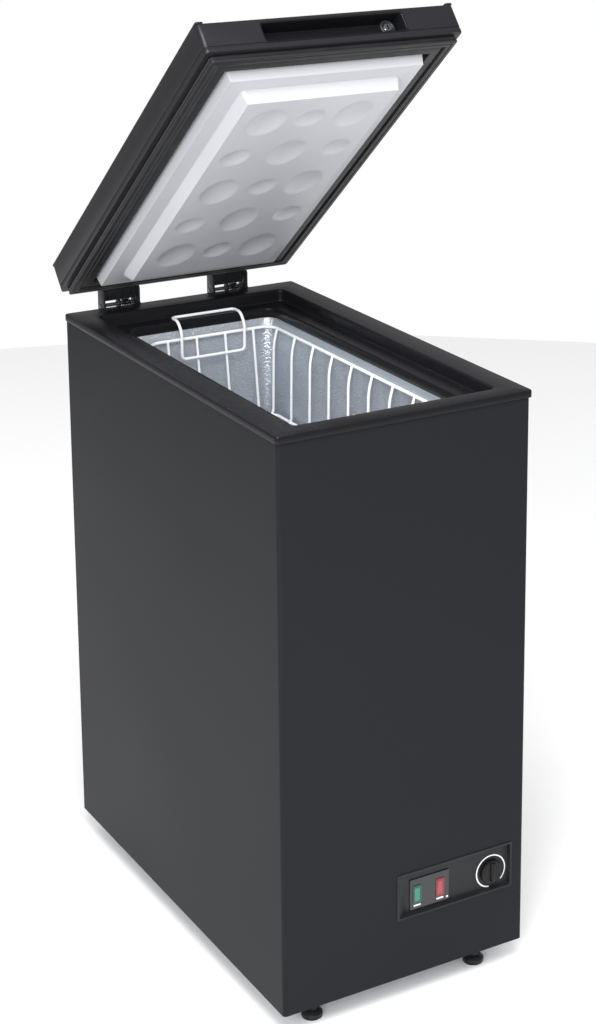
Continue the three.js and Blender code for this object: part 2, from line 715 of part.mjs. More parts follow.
// ---- lid, drawn shut -----------------------------------------------------------------------------------
const LID_OUTER = { x: LID_HALF, front: LID_FRONT, back: LID_BACK, radius: 6 };
const RAIL_WIDTH = 11;
const BORDER = { x: 143.5, front: 40, back: 604, radius: 8 };
const PANEL_BASE = { x: 142.5, front: 44, back: 603, radius: 7 };

function handleRoom(grow) {
  const { x0, x1, z0, z1, depth } = HANDLE;
  const back = LID_FRONT + depth + 2 + grow;
  return box(x0 - 2 - grow, x1 + 2 + grow, LID_FRONT - 1, back, z0 - 2 - grow, z1 + 2 + grow);
}

function lidFrame() {
  const top = LID_TOP - LID_RAIL;
  const shell = prism(LID_OUTER, 0, LID_BASE, top);
  const inside = prism(LID_OUTER, -WALL, LID_BASE + 2.5, top - 2.5);
  const skinRoom = prism(LID_OUTER, -RAIL_WIDTH, top - 4, LID_TOP + 1);
  const mouth = prism(BORDER, 0, LID_BASE - 1, LID_BASE + 5);
  const rails = [-1, 1].map((side) => {
    const [low, high] = [side * (LID_HALF - RAIL_WIDTH), side * 200].sort((a, b) => a - b);
    const band = box(low, high, 0, RIM_DEPTH, top - 1, LID_TOP);
    return prism(LID_OUTER, 0, top - 2, LID_TOP).intersect(band);
  });
  const body = cut(shell, inside, skinRoom, mouth, handleRoom(GAP));
  return part("lid_frame", "gloss", joined([body, ...rails]));
}

function lidSkin() {
  const top = LID_TOP - LID_RAIL;
  return part("lid_skin", "paint", prism(LID_OUTER, -RAIL_WIDTH - GAP, top - 1.5, top));
}

function lidFoam() {
  const top = LID_TOP - LID_RAIL;
  const core = prism(LID_OUTER, -WALL - GAP, LID_BASE + 2.5 + GAP, top - 2.5 - GAP);
  const raised = prism(LID_OUTER, -RAIL_WIDTH - 2 * GAP, top - 4, top - 1.5 - GAP);
  const plug = stack(panelLayers(-2 - GAP, LID_BASE + 4));
  return part("lid_foam", "foam", cut(joined([core, raised, plug]), handleRoom(2 * GAP), lockRoom(GAP)));
}

// The inner panel drops in two steps, each with sloping sides, into the mouth of the cabinet.
function panelLayers(grow, top) {
  const step = { x: 115, front: 74, back: 577, radius: 8 };
  const face = { x: 109, front: 80, back: 559, radius: 8 };
  return [
    { loop: loopOf(face, grow), z: LEVEL_TWO - grow },
    { loop: loopOf(step, grow), z: LEVEL_ONE - grow },
    { loop: loopOf({ ...PANEL_BASE, x: 139.5, front: 50, back: 600 }, grow), z: LEVEL_ONE - grow + 0.01 },
    { loop: loopOf(PANEL_BASE, grow), z: LID_BASE - 2 },
    { loop: loopOf(PANEL_BASE, grow), z: top },
  ];
}

function lidPanel() {
  const outer = stack(panelLayers(0, LID_BASE + 2.5));
  const inner = stack(panelLayers(-2, LID_BASE + 5));
  return part("lid_panel", "white", cut(outer, inner));
}

// A hollow magnetic seal with a ribbed face, which follows the outer half of the rim.
function lidGasket() {
  const [low, high] = [LID_BASE - GASKET_THICK, LID_BASE - GAP];
  const outer = { ...LID_OUTER, radius: 9 };
  const bead = cut(prism(outer, -7, low, high), prism(outer, -21, low - 1, high + 1));
  const seat = cut(prism(outer, -20, high - 7.5, high), prism(outer, -37, high - 9, high + 1));
  return part("lid_gasket", "rubber", joined([bead, seat]));
}

function handleCup() {
  const { x0, x1, z0, z1, depth } = HANDLE;
  const back = LID_FRONT + depth;
  const outer = { x0: x0 - 2, x1: x1 + 2, z0: z0 - 2, z1: z1 + 2, radius: 3 };
  const shell = stackFacing([{ ...outer, y: back + 2 }, { ...outer, y: LID_FRONT }]);
  const floor = { x0: x0 + 4, x1: x1 - 1, z0: z0 + 7, z1: z1 - 1, y: back, radius: 2 };
  const mouth = { x0, x1, z0, z1, y: LID_FRONT - 1, radius: 3 };
  const hole = cylinder(LOCK.radius + GAP, 40, "y", [LOCK.x, back, LOCK.z], 24);
  return part("handle_cup", "gloss", cut(shell, stackFacing([floor, mouth]), hole));
}

const LOCK_FACE = LID_FRONT + 7;
const LOCK_BACK = LID_FRONT + HANDLE.depth + 12;

function lockRoom(grow) {
  const [y0, y1] = [LID_FRONT + HANDLE.depth, LOCK_BACK + 8 + grow];
  return box(LOCK.x - 18 - grow, LOCK.x + 18 + grow, y0, y1, LID_BASE + 4 - grow, LID_TOP - 7 + grow);
}

function lockBarrel() {
  const at = [LOCK.x, (LOCK_FACE + LOCK_BACK) / 2, LOCK.z];
  const body = cylinder(LOCK.radius, LOCK_BACK - LOCK_FACE, "y", at, 24);
  const bore = cylinder(6.4, 60, "y", at, 24);
  return part("lock_barrel", "black", cut(body, bore));
}

function lockCylinder() {
  const at = [LOCK.x, (LOCK_FACE + LOCK_BACK + 5) / 2, LOCK.z];
  const core = cylinder(6, LOCK_BACK + 5 - LOCK_FACE, "y", at, 24);
  const keyway = box(LOCK.x - 0.9, LOCK.x + 0.9, LOCK_FACE - 1, LOCK_FACE + 9, LOCK.z - 3.6, LOCK.z + 3.6);
  return part("lock_cylinder", "zinc", cut(core, keyway));
}

function lockCam() {
  const [y0, y1] = [LOCK_BACK + 1, LOCK_BACK + 4];
  const arm = box(LOCK.x - 7.5, LOCK.x + 13, y0, y1, LOCK.z - 7.5, LOCK.z + 7.5);
  const bore = cylinder(6 + GAP, 20, "y", [LOCK.x, y0, LOCK.z], 24);
  return part("lock_cam", "zinc", cut(arm, bore));
}

// ---- basket --------------------------------------------------------------------------------------------
const TAPER = { side: 8, end: 17 };

function basketRect(level) {
  const share = (BASKET.rail - level) / BASKET.depth;
  return {
    centre: BASKET.x,
    x: BASKET.halfWidth - share * TAPER.side,
    front: BASKET.front + share * TAPER.end,
    back: BASKET.back - share * TAPER.end,
    radius: 20,
  };
}

function wireHoop(level, radius) {
  const loop = loopOf(basketRect(level), 0, BEND_STEPS).map(([x, y]) => new THREE.Vector3(x, y, level));
  const start = loop.at(-1).clone().lerp(loop[0], 0.5);
  return wireAlong([start, ...loop, start.clone()], radius);
}

// A wire bent into a U: down one wall, across the floor and up the other wall.
function crossWire(y) {
  const [top, floor] = [BASKET.rail, BASKET.rail - BASKET.depth];
  const [high, low] = [basketRect(top), basketRect(floor)];
  const at = (rect, side) => rect.centre + side * (rect.x - WIRE);
  return [
    [at(high, -1), y, top],
    [at(low, -1) - 2, y, top - 22],
    [at(low, -1), y, floor],
    [at(low, 1), y, floor],
    [at(low, 1) + 2, y, top - 22],
    [at(high, 1), y, top],
  ];
}

function longWire(x) {
  const [top, floor] = [BASKET.rail, BASKET.rail - BASKET.depth];
  const [high, low] = [basketRect(top), basketRect(floor)];
  const z = floor + 2 * WIRE - GAP;
  return [
    [x, high.front + WIRE, top],
    [x, low.front + WIRE, z],
    [x, low.back - WIRE, z],
    [x, high.back - WIRE, top],
  ];
}

// The welded basket is parted into its floor and its four sides, so that each one is a flat grid.
function basketGrids() {
  const { x, halfWidth, front, rail, depth } = BASKET;
  const wires = [wireHoop(rail, RAIL_WIRE), wireHoop(rail - depth + 3, RAIL_WIRE)];
  for (let i = 0; i < 9; i += 1) wires.push(bentWire(crossWire(553.5 - i * 55.2), WIRE, 12));
  for (let i = 0; i < 4; i += 1) wires.push(bentWire(longWire(x + (i - 1.5) * 45.9), WIRE, 12));
  const whole = joined(wires);
  const seam = rail - depth + 14;
  const [left, right] = [x - halfWidth + 13, x + halfWidth - 13];
  const middle = (front + BASKET.back) / 2;
  const above = [seam + GAP, RIM_TOP];
  const within = (...bounds) => whole.intersect(box(...bounds));
  return [
    part("basket_floor", "wire", within(-200, 200, 0, RIM_DEPTH, 0, seam)),
    part("basket_left", "wire", within(-200, left, 0, RIM_DEPTH, ...above)),
    part("basket_right", "wire", within(right, 200, 0, RIM_DEPTH, ...above)),
    part("basket_front", "wire", within(left + GAP, right - GAP, 0, middle, ...above)),
    part("basket_back", "wire", within(left + GAP, right - GAP, middle, RIM_DEPTH, ...above)),
  ];
}

// Each handle is a closed loop inside the end wires. Its top bar is bent out and hangs on the ledge.
function basketHandle(name, end) {
  const wall = end > 0 ? BASKET.back : BASKET.front;
  const y = wall - end * 10;
  const turn = y + end * 13;
  const out = end > 0 ? 597 : 41;
  const [low, high, bar] = [708, 748.5, LEDGE_TOP + HANDLE_WIRE + GAP];
  const [x0, x1] = [BASKET.x - 50.5, BASKET.x + 50.5];
  const middle = BASKET.x;
  const corners = [
    [middle, y, low],
    [x0, y, low],
    [x0, y, high],
    [x0, turn, bar],
    [x0, out, bar],
    [x1, out, bar],
    [x1, turn, bar],
    [x1, y, high],
    [x1, y, low],
    [middle, y, low],
  ];
  return part(name, "wire", bentWire(corners, HANDLE_WIRE, 7));
}

// ---- assembly ------------------------------------------------------------------------------------------
function cabinetParts() {
  return [
    outerWrapper(),
    rearPanel(),
    rearGrille(),
    cordGland(),
    basePan(),
    ...Object.entries(FEET).map(([name, at]) => levellingFoot(name, at)),
    rimCollar(),
    liner(),
    foamBody(),
    bayLining(),
    evaporatorCoil(),
    condenserCoil(),
    compressorShell(),
    mountingRails(),
    compressorCradle(),
    grommet("grommet_front_left", -1, RAIL.y[0]),
    grommet("grommet_front_right", 1, RAIL.y[0]),
    grommet("grommet_back_left", -1, RAIL.y[1]),
    grommet("grommet_back_right", 1, RAIL.y[1]),
    relayCover(),
    filterDrier(),
    dischargeTube(),
    suctionTube(),
    controlBezel(),
    lampPlate(),
    lamp("lamp_green", "green", LAMP.green),
    lamp("lamp_red", "red", LAMP.red),
    lampHolder(),
    controlBox(),
    thermostatBody(),
    thermostatShaft(),
    temperatureKnob(),
    hingeBracket("hinge_bracket_left", -HINGE_X),
    hingeBracket("hinge_bracket_right", HINGE_X),
    hingePin("hinge_pin_left", -HINGE_X),
    hingePin("hinge_pin_right", HINGE_X),
    hingeSpring("hinge_spring_left", -HINGE_X),
    hingeSpring("hinge_spring_right", HINGE_X),
    ...basketGrids(),
    basketHandle("basket_handle_back", 1),
    basketHandle("basket_handle_front", -1),
  ];
}

function lidParts() {
  return [
    lidFrame(),
    lidSkin(),
    lidFoam(),
    lidPanel(),
    lidGasket(),
    handleCup(),
    lockBarrel(),
    lockCylinder(),
    lockCam(),
    hingeLeaf("hinge_leaf_left", -HINGE_X),
    hingeLeaf("hinge_leaf_right", HINGE_X),
  ];
}

const lidShut = new THREE.Group();
lidShut.position.set(0, -PIVOT.y, -PIVOT.z);
lidShut.add(...lidParts());

const lid = new THREE.Group();
lid.position.set(0, PIVOT.y, PIVOT.z);
lid.rotation.x = -LID_ANGLE;
lid.add(lidShut);

// The raised lid's top rear edge reaches further back than the cabinet and sets the overall depth.
const REACH = {
  y: (LID_BACK - PIVOT.y) * Math.cos(LID_ANGLE),
  z: (LID_TOP - PIVOT.z) * Math.sin(LID_ANGLE),
};
const OVERALL_DEPTH = PIVOT.y + REACH.y + REACH.z;

const freezer = new THREE.Group();
freezer.position.set(0, -OVERALL_DEPTH / 2, FOOT_HEIGHT);
freezer.add(...cabinetParts(), lid);

export default freezer;
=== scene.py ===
"""The looks of a slim chest freezer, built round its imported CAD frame.

Sizes are in millimetres in shop coordinates: x runs from the cabinet's middle to the right, y from the
front of the rim to the back, and z from the cabinet's underside up. Datum turns them into the frame's
metres. The lid's pieces are drawn with the lid shut and are then raised about the hinge pins.
"""

import json
import logging
import math
from dataclasses import dataclass, field
from enum import Enum
from typing import Callable, Sequence

import bmesh
import bpy
import numpy as np
from mathutils import Matrix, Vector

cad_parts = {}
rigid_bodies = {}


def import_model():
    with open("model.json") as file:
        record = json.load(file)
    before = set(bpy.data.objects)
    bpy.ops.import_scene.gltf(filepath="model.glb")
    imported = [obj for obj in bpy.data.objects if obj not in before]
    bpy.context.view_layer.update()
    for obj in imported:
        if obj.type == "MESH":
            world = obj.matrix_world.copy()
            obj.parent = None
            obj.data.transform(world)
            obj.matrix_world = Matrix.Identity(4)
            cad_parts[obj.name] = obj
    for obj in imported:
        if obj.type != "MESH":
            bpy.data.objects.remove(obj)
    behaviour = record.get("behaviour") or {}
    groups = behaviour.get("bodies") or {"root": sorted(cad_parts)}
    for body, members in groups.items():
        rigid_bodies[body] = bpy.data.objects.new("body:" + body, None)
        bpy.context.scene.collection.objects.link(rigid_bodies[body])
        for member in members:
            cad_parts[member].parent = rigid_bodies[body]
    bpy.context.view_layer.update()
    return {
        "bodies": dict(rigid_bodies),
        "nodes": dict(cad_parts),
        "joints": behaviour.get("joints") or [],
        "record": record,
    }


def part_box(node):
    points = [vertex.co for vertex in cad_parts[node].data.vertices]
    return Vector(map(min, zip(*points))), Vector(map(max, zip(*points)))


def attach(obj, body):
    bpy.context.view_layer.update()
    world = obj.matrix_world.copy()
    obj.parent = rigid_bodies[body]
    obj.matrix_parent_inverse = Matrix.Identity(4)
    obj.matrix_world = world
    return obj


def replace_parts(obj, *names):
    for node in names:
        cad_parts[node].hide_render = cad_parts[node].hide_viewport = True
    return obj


log = logging.getLogger("freezer")

MM = 0.001
SMOOTH = 32.0
Place = Callable[[np.ndarray], np.ndarray]
Station = Sequence[float]


# ---- surfaces ------------------------------------------------------------------------------------------
@dataclass
class Surface:
    """Points in shop millimetres and the faces over them."""

    points: np.ndarray
    faces: list[tuple[int, ...]]

    def __add__(self, other: "Surface") -> "Surface":
        """Both surfaces in one."""
        start = len(self.points)
        moved = [tuple(i + start for i in face) for face in other.faces]
        return Surface(np.vstack([self.points, other.points]), self.faces + moved)

    def shifted(self, x: float = 0.0, y: float = 0.0, z: float = 0.0) -> "Surface":
        """The same surface, moved."""
        return Surface(self.points + np.array([x, y, z]), list(self.faces))


def merged(surfaces: Sequence[Surface]) -> Surface:
    """Joins surfaces.

    Args:
        surfaces: at least one surface.

    Returns:
        All of them in one.
    """
    whole, *rest = surfaces
    for piece in rest:
        whole = whole + piece
    return whole


def grid_faces(rows: int, columns: int, wrap: bool, first: int = 0) -> list[tuple[int, ...]]:
    """The quads of a grid of points numbered row by row.

    Args:
        rows: number of rows of points.
        columns: number of points in a row.
        wrap: whether each row closes on itself.
        first: the first point's number.

    Returns:
        Quads that face outwards when rows run counter-clockwise seen from where the columns go.
    """
    last = columns if wrap else columns - 1
    row, column = np.meshgrid(np.arange(rows - 1), np.arange(last), indexing="ij")
    a = row * columns + column
    b = row * columns + (column + 1) % columns
    quads = np.stack([a, b, b + columns, a + columns], axis=-1).reshape(-1, 4) + first
    return [tuple(int(i) for i in quad) for quad in quads]


def rounded_loop(
    half: float, front: float, back: float, radius: float, middle: float, arc: int
) -> np.ndarray:
    """A rounded rectangle as points, counter-clockwise seen from above.

    Each corner is a quarter circle: centre + radius * (cos t, sin t), with t over its own quarter turn.

    Args:
        half: half of the size along x.
        front: the lowest y.
        back: the highest y.
        radius: the corner radius.
        middle: x of the middle.
        arc: steps in each corner.

    Returns:
        An array of 4 * (arc + 1) rows of x and y.
    """
    radius = max(min(radius, half - 0.01, (back - front) / 2 - 0.01), 0.02)
    turn = np.linspace(0.0, math.pi / 2, arc + 1)
    starts = np.array([-math.pi / 2, 0.0, math.pi / 2, math.pi])[:, None]
    centres_x = np.array([middle + half - radius] * 2 + [middle - half + radius] * 2)[:, None]
    centres_y = np.array([front + radius, back - radius, back - radius, front + radius])[:, None]
    x = centres_x + radius * np.cos(starts + turn)
    y = centres_y + radius * np.sin(starts + turn)
    return np.stack([x.ravel(), y.ravel()], axis=-1)


def loft(stations: Sequence[Station], ring: bool = False, arc: int = 8) -> Surface:
    """A solid through rounded rectangles stacked along z.

    Args:
        stations: rows of half size along x, front, back, corner radius, z and, if given, the middle's x.
            They go up the outside and down the inside, so that the faces point out of the material.
        ring: True closes the last station onto the first, False caps both ends.
        arc: steps in each corner.

    Returns:
        The closed surface.
    """
    loops = []
    for half, front, back, radius, z, *middle in stations:
        loop = rounded_loop(half, front, back, radius, middle[0] if middle else 0.0, arc)
        loops.append(np.column_stack([loop, np.full(len(loop), z)]))
    count = len(loops[0])
    if ring:
        loops.append(loops[0])
    points = np.vstack(loops)
    faces = grid_faces(len(loops), count, True)
    if ring:
        kept = (len(loops) - 1) * count
        return Surface(points[:kept], [tuple(i % kept for i in face) for face in faces])
    top = (len(loops) - 1) * count
    return Surface(points, faces + [tuple(range(count - 1, -1, -1)), tuple(range(top, top + count))])


def inset(base: Station, rows: Sequence[tuple[float, float]]) -> list[tuple[float, ...]]:
    """Stations that run round one rounded rectangle.

    Args:
        base: half size along x, front, back and corner radius.
        rows: for each station, how far it lies inside the base, and its z.

    Returns:
        Stations for loft().
    """
    half, front, back, radius = base
    return [(half - d, front + d, back - d, max(radius - d, 0.4), z) for d, z in rows]


def slab(base: Station, low: float, high: float, edge: float, middle: float = 0.0) -> Surface:
    """A rounded rectangular plate whose upper and lower edges are quarter circles.

    Args:
        base: half size along x, front, back and corner radius.
        low: z of the underside.
        high: z of the top.
        edge: radius of the edges.
        middle: x of the middle.

    Returns:
        The closed surface.
    """
    half, front, back, radius = base
    t = np.linspace(0.0, math.pi / 2, 5)
    inward = np.concatenate([edge * (1 - np.sin(t)), edge * (1 - np.cos(t))])
    z = np.concatenate([low + edge * (1 - np.cos(t)), high - edge * (1 - np.sin(t))])
    rows = [(half - d, front + d, back - d, max(radius - d, 0.2), h, middle) for d, h in zip(inward, z)]
    return loft(rows)


def facing(surface: Surface) -> Surface:
    """A surface drawn lying down, with y as height and z as reach, stood up to face the front.

    A point (u, v, w) goes to x = u, y = -w, z = v.
    """
    u, v, w = surface.points.T
    return Surface(np.column_stack([u, -w, v]), list(surface.faces))


def window(x0: float, x1: float, z0: float, z1: float, radius: float, y: float) -> tuple[float, ...]:
    """One station of a loft that is to be stood up by facing(), given by its sides and its y."""
    return ((x1 - x0) / 2, z0, z1, radius, -y, (x0 + x1) / 2)


def pane(sides: Station, rows: Sequence[Station]) -> Surface:
    """An upright body that faces the front, lofted from its back to its face.

    Args:
        sides: its left, right, foot and top.
        rows: how far each station is set in at the left, right, foot and top, its corner radius and its y.

    Returns:
        The closed surface.
    """
    x0, x1, z0, z1 = sides
    stations = [window(x0 + a, x1 - b, z0 + c, z1 - d, radius, y) for a, b, c, d, radius, y in rows]
    return facing(loft(stations))


def prism(sides: Station, radius: float, deep: float, near: float) -> Surface:
    """An upright bar with rounded corners between two depths, for a mark or for the tool of a hole."""
    return pane(sides, [(0, 0, 0, 0, radius, deep), (0, 0, 0, 0, radius, near)])


def turned(profile: Sequence[tuple[float, float]], sides: int = 48) -> Surface:
    """A lathe turning: each point of a profile is carried round z as (r cos t, r sin t, h).

    Args:
        profile: radius and height of its points. It starts and ends on the axis, or on itself.
        sides: points in a full turn.

    Returns:
        The closed surface.
    """
    r, h = np.array(profile, float).T
    t = np.linspace(0.0, 2 * math.pi, sides, endpoint=False)
    x, y = r[:, None] * np.cos(t), r[:, None] * np.sin(t)
    points = np.stack([x, y, np.repeat(h[:, None], sides, axis=1)], axis=-1).reshape(-1, 3)
    return Surface(points, grid_faces(len(r), sides, True))


def rounded_path(
    corners: Sequence[Sequence[float]], bend: float, steps: int = 6, closed: bool = False
) -> np.ndarray:
    """A path whose corners are quadratic bends: (1-t)^2 A + 2t(1-t) corner + t^2 B.

    Args:
        corners: the points that the path turns at.
        bend: how far from a corner its bend starts.
        steps: steps in each bend.
        closed: whether the last corner leads back to the first.

    Returns:
        The path's points.
    """
    at = np.array(corners, float)
    t = np.linspace(0.0, 1.0, steps + 1)[:, None]
    before, after = np.roll(at, 1, axis=0), np.roll(at, -1, axis=0)

    def reach(i: int, other: np.ndarray) -> np.ndarray:
        """Where corner i's bend meets the straight run towards its neighbour in other."""
        way = other[i] - at[i]
        length = np.linalg.norm(way)
        return at[i] + way / length * min(bend, length * 0.48)

    inner = range(len(at)) if closed else range(1, len(at) - 1)
    bends = [
        (1 - t) ** 2 * reach(i, before) + 2 * t * (1 - t) * at[i] + t**2 * reach(i, after) for i in inner
    ]
    return np.vstack(bends if closed else [at[:1], *bends, at[-1:]])


def wire(path: np.ndarray, radius: float, sides: int = 10, closed: bool = False) -> Surface:
    """A round wire: at each point a circle across the path, carried along with the least twist.

    Args:
        path: the centre line's points.
        radius: the wire's radius.
        sides: sides of the circle.
        closed: whether the wire meets itself.

    Returns:
        A closed surface, with its ends capped unless it meets itself.
    """
    ahead = np.roll(path, -1, axis=0) - path
    if not closed:
        ahead[-1] = ahead[-2]
    ahead /= np.linalg.norm(ahead, axis=1, keepdims=True)
    behind = np.roll(ahead, 1, axis=0)
    if not closed:
        behind[0] = ahead[0]
    along = ahead + behind
    along /= np.linalg.norm(along, axis=1, keepdims=True)
    across = np.zeros_like(along)
    start = np.cross(along[0], [0.31, 0.17, 0.93])
    across[0] = start / np.linalg.norm(start)
    for i in range(1, len(path)):
        side = across[i - 1] - along[i] * (across[i - 1] @ along[i])
        across[i] = side / np.linalg.norm(side)
    if closed:
        last = across[-1] - along[0] * (across[-1] @ along[0])
        other = np.cross(along[0], across[0])
        slip = math.atan2(last @ other, last @ across[0])
        share = -slip * np.arange(len(path)) / len(path)
        up = np.cross(along, across)
        across = across * np.cos(share)[:, None] + up * np.sin(share)[:, None]
    up = np.cross(along, across)
    t = np.linspace(0.0, 2 * math.pi, sides, endpoint=False)[None, :, None]
    rings = path[:, None] + radius * (np.cos(t) * across[:, None] + np.sin(t) * up[:, None])
    points = rings.reshape(-1, 3)
    if closed:
        faces = grid_faces(len(path) + 1, sides, True)
        return Surface(points, [tuple(i % len(points) for i in face) for face in faces])
    top = (len(path) - 1) * sides
    caps = [tuple(range(sides - 1, -1, -1)), tuple(range(top, top + sides))]
    return Surface(points, grid_faces(len(path), sides, True) + caps)


# ---- frame ---------------------------------------------------------------------------------------------
@dataclass(frozen=True)
class Datum:
    """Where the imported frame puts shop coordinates."""

    front: float
    base: float
    pin: np.ndarray
    raised: float

    @classmethod
    def of(cls, frame: dict) -> "Datum":
        """Reads the datum from the frame.


        Returns:
            The datum, in metres and radians.
        """
        hinge = next(j for j in frame["record"]["behaviour"]["joints"] if j["name"] == "lid_hinge")
        return cls(
            front=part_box("rim_collar")[0].y,
            base=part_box("outer_wrapper")[0].z,
            pin=np.array(hinge["pos_m"]),
            raised=-math.radians(hinge["range_deg"][0]),
        )

    def cabinet(self, points: np.ndarray) -> np.ndarray:
        """Shop millimetres to the frame's metres."""
        return points * MM + np.array([0.0, self.front, self.base])

    def lid(self, points: np.ndarray) -> np.ndarray:
        """The same for points drawn with the lid shut, then turned about the pins to where the lid is.

        Args:
            points: rows of x, y and z in shop millimetres.

        Returns:
            Rows in the frame's metres.
        """
        away = self.cabinet(points) - self.pin
        c, s = math.cos(self.raised), math.sin(self.raised)
        x, y, z = away.T
        return np.column_stack([x, y * c + z * s, z * c - y * s]) + self.pin

    def box(self, node: str) -> tuple[float, ...]:
        """Where a node of the cabinet is, to a tenth of a millimetre.

        Args:
            node: the CAD node.

        Returns:
            Its left, right, front, back, foot and top in shop millimetres.
        """
        shift = np.array([0.0, self.front, self.base])
        low, high = [np.round((np.array(corner) - shift) / MM, 1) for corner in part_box(node)]
        return tuple(float(v) for pair in zip(low, high) for v in pair)


def shape(name: str, surface: Surface, place: Place, smooth: float = SMOOTH) -> bpy.types.Object:
    """Makes a mesh object from a surface.

    Args:
        name: the piece's name.
        surface: its points and faces in shop millimetres.
        place: turns those points into the frame's metres.
        smooth: edges sharper than this many degrees stay sharp.

    Returns:
        The object, at the origin, unturned and unscaled.
    """
    mesh = bpy.data.meshes.new(name)
    mesh.from_pydata(place(surface.points).tolist(), [], surface.faces)
    mesh.validate()
    mesh.polygons.foreach_set("use_smooth", np.ones(len(mesh.polygons), bool))
    mesh.set_sharp_from_angle(angle=math.radians(smooth))
    return placed(name, mesh)


def placed(name: str, mesh: bpy.types.Mesh) -> bpy.types.Object:
    """Puts a mesh in the scene.

    Args:
        name: the object's name.
        mesh: its mesh.

    Returns:
        The object, at the origin.
    """
    obj = bpy.data.objects.new(name, mesh)
    bpy.context.scene.collection.objects.link(obj)
    return obj


def carved(obj: bpy.types.Object, tools: Sequence[bpy.types.Object]) -> bpy.types.Object:
    """Cuts closed tool shapes out of a piece and removes the tools.

    Args:
        obj: the piece.
        tools: closed objects to subtract.

    Returns:
        The piece, with the cuts in its own mesh.
    """
    for tool in tools:
        cut = obj.modifiers.new("cut", "BOOLEAN")
        cut.operation = "DIFFERENCE"
        cut.solver = "EXACT"
        cut.object = tool
    evaluated = obj.evaluated_get(bpy.context.evaluated_depsgraph_get())
    mesh = bpy.data.meshes.new_from_object(evaluated)
    obj.modifiers.clear()
    obj.data = mesh
    mesh.set_sharp_from_angle(angle=math.radians(SMOOTH))
    for tool in tools:
        bpy.data.objects.remove(tool)
    return obj


def softened(node: str, frame: dict, edge: float) -> bpy.types.Object:
    """A copy of a CAD node with its edges rounded.

    Args:
        node: the CAD node.
        edge: the rounding in millimetres.

    Returns:
        The copy, which stands for the node.
    """
    mesh = frame["nodes"][node].data.copy()
    made = bmesh.new()
    made.from_mesh(mesh)
    bmesh.ops.remove_doubles(made, verts=made.verts, dist=1e-5)
    bmesh.ops.dissolve_limit(made, angle_limit=math.radians(1), verts=made.verts, edges=made.edges)
    made.to_mesh(mesh)
    made.free()
    mesh.materials.clear()
    mesh.polygons.foreach_set("use_smooth", np.ones(len(mesh.polygons), bool))
    obj = placed(node + "_finished", mesh)
    bevel = obj.modifiers.new("edge", "BEVEL")
    bevel.width = edge * MM
    bevel.segments = 2
    bevel.limit_method = "ANGLE"
    bevel.angle_limit = math.radians(35)
    bevel.harden_normals = True
    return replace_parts(obj, node)


# ---- finishes ------------------------------------------------------------------------------------------
def linear(code: str) -> tuple[float, float, float, float]:
    """Turns an sRGB colour linear.

    Args:
        code: six hex digits, such as '3a3b3f'.

    Returns:
        Linear red, green, blue and an alpha of 1.
    """
    parts = np.array([int(code[i : i + 2], 16) for i in (0, 2, 4)]) / 255
    flat = np.where(parts <= 0.04045, parts / 12.92, ((parts + 0.055) / 1.055) ** 2.4)
    return (*(float(v) for v in flat), 1.0)


def add_node(tree: bpy.types.NodeTree, kind: str, settings: dict, sockets: dict) -> bpy.types.Node:
    """Adds a shader node.

    Args:
        tree: the tree that it goes in.
        kind: the node's type, without the ShaderNode in front.
        settings: attribute values.
        sockets: for each input's name or number, a value or the output that is linked to it.

    Returns:
        The node.
    """
    node = tree.nodes.new("ShaderNode" + kind)
    for name, value in settings.items():
        setattr(node, name, value)
    for name, value in sockets.items():
        if isinstance(value, bpy.types.NodeSocket):
            tree.links.new(value, node.inputs[name])
        else:
            node.inputs[name].default_value = value
    return node


class Grain(Enum):
    """The relief that a surface's making leaves."""

    PEEL = "peel"
    SPARK = "spark"
    STUCCO = "stucco"
    BRUSHED = "brushed"
    CELLS = "cells"


COAT_ROUGHNESS = 0.1


